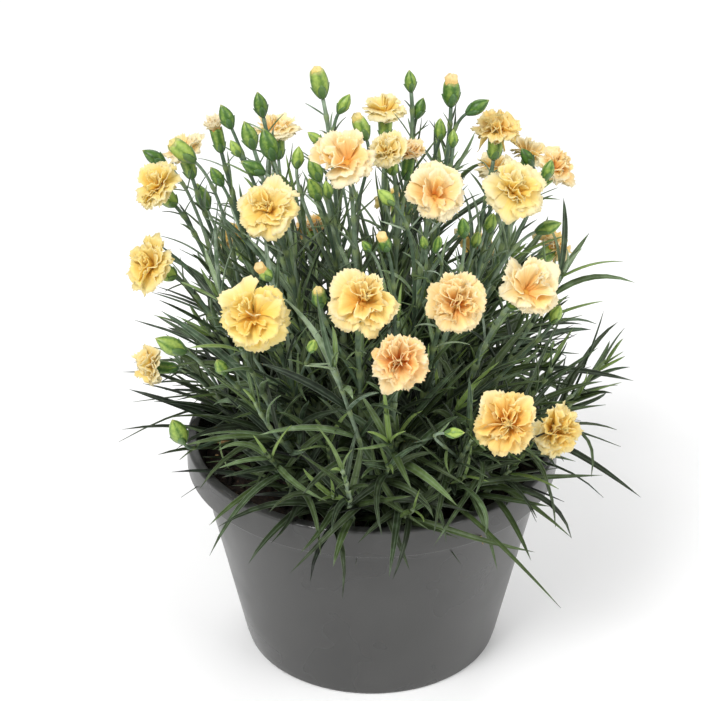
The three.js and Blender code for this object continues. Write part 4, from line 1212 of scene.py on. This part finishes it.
def crumbs(many, least, most, finish):
    """Lumps: half rounds whose points are moved in and out by up to a third, squashed to 0.6 of
    their width and strewn evenly over the peat."""
    size = chance.uniform(least, most, (many, 1, 1))
    height = np.linspace(-1, 1, LUMP_ROWS)[None, :, None]
    turn = turns(LUMP_SIDES)
    wide = np.sqrt(1.02 - height**2) * size * chance.uniform(0.7, 1.3, (many, LUMP_ROWS, LUMP_SIDES))
    out = (soil_edge - 3) * np.sqrt(chance.random((many, 1, 1)))
    where = chance.uniform(0, 2 * np.pi, (many, 1, 1))
    stretch = chance.uniform(0.6, 1.4, (many, 1, 1))
    grid = np.stack([out * np.cos(where) + wide * stretch * np.cos(turn),
                     out * np.sin(where) + wide / stretch * np.sin(turn),
                     SOIL_LEVEL + 0.8 + 0.6 * size * height + 0 * wide], -1)
    return surface(grid, finish, (0.5, 0.5, 0.5))


piece("peat_crumbs", "soil", [crumbs(420, 0.5, 1.8, "damp_peat"), crumbs(30, 0.6, 1.4, "dead_leaf")])

dead = np.array([[-83, 6, -10], [-64, -50, -13], [-40, -72, -13], [52, -60, -13], [10, -80, -13],
                 [74, 10, -13], [-74, 20, -13], [-20, 76, -13], [40, 66, -13]], float)
turn = chance.uniform(0, 2 * np.pi, len(dead))
turn[0] = -0.5
flat = np.stack([np.cos(turn), np.sin(turn), np.full(len(dead), 0.12)], -1)
sag = np.stack([-0.5 * np.sin(turn), 0.5 * np.cos(turn), np.full(len(dead), -0.05)], -1)
dead_side = unit(np.cross(UP, flat))
curled = blades(dead, unit(flat), sag, dead_side, chance.uniform(14, 24, len(dead)), 3.4, 0,
                "dead_leaf", 0.25)
piece("dead_leaves", "foliage", [curled])
print("peat level, mm under the rim:", -SOIL_LEVEL)

# %% [markdown]
# ## Floor, light and camera
# The plant stands on a wide pale floor in a bright, even studio: a big soft lamp above, in front
# and to the left, weaker ones from the right and from behind, and a white surround. A long lens a
# little over a metre away looks down on the bush by some 28 degrees.

# %% Studio
FLOOR_HALF = 6.0
floor_mesh = bpy.data.meshes.new("floor")
corners = [(x * FLOOR_HALF, y * FLOOR_HALF, 0) for x, y in ((-1, -1), (1, -1), (1, 1), (-1, 1))]
floor_mesh.from_pydata(corners, [], [(0, 1, 2, 3)])
floor = bpy.data.objects.new("floor", floor_mesh)
bpy.context.scene.collection.objects.link(floor)
floor_mesh.materials.append(
    finish_named("white_paper", Roughness=0.9, Base_Color=linear("#f7f7f7")))

world = bpy.data.worlds.new("studio")
world.use_nodes = True
surround = world.node_tree.nodes["Background"].inputs
surround["Color"].default_value = linear("#ffffff")
surround["Strength"].default_value = 0.44
bpy.context.scene.world = world
PLANT_MIDDLE = Vector((0, 0, 0.2))
LAMPS = [  # name, place in metres, width in metres and power in watts
    ("key", (-0.9, -1.3, 1.9), 1.0, 44), ("fill", (1.5, -0.9, 1.2), 1.6, 22),
    ("back", (0.2, 1.7, 1.8), 1.4, 20)]
for name, place, size, power in LAMPS:
    lamp = bpy.data.lights.new(name, "AREA")
    lamp.size, lamp.energy = size, power
    holder = bpy.data.objects.new(name, lamp)
    holder.location = place
    holder.rotation_euler = (PLANT_MIDDLE - Vector(place)).to_track_quat("-Z", "Y").to_euler()
    bpy.context.scene.collection.objects.link(holder)

CAMERA_DISTANCE, CAMERA_DOWN, LENS = 1.15, math.radians(28.5), 115
aim_at = Vector((-0.011, 0.0197, 0.1543))
back = Vector((0, -math.cos(CAMERA_DOWN), math.sin(CAMERA_DOWN)))
lens = bpy.data.cameras.new("camera")
lens.lens, lens.sensor_width = LENS, 36
camera = bpy.data.objects.new("camera", lens)
camera.location = aim_at + CAMERA_DISTANCE * back
camera.rotation_euler = (-back).to_track_quat("-Z", "Y").to_euler()
bpy.context.scene.collection.objects.link(camera)
bpy.context.scene.camera = camera
bpy.context.scene.view_settings.view_transform = "Standard"
print("camera at:", [round(v, 4) for v in camera.location])

# %% The end
bpy.context.view_layer.update()
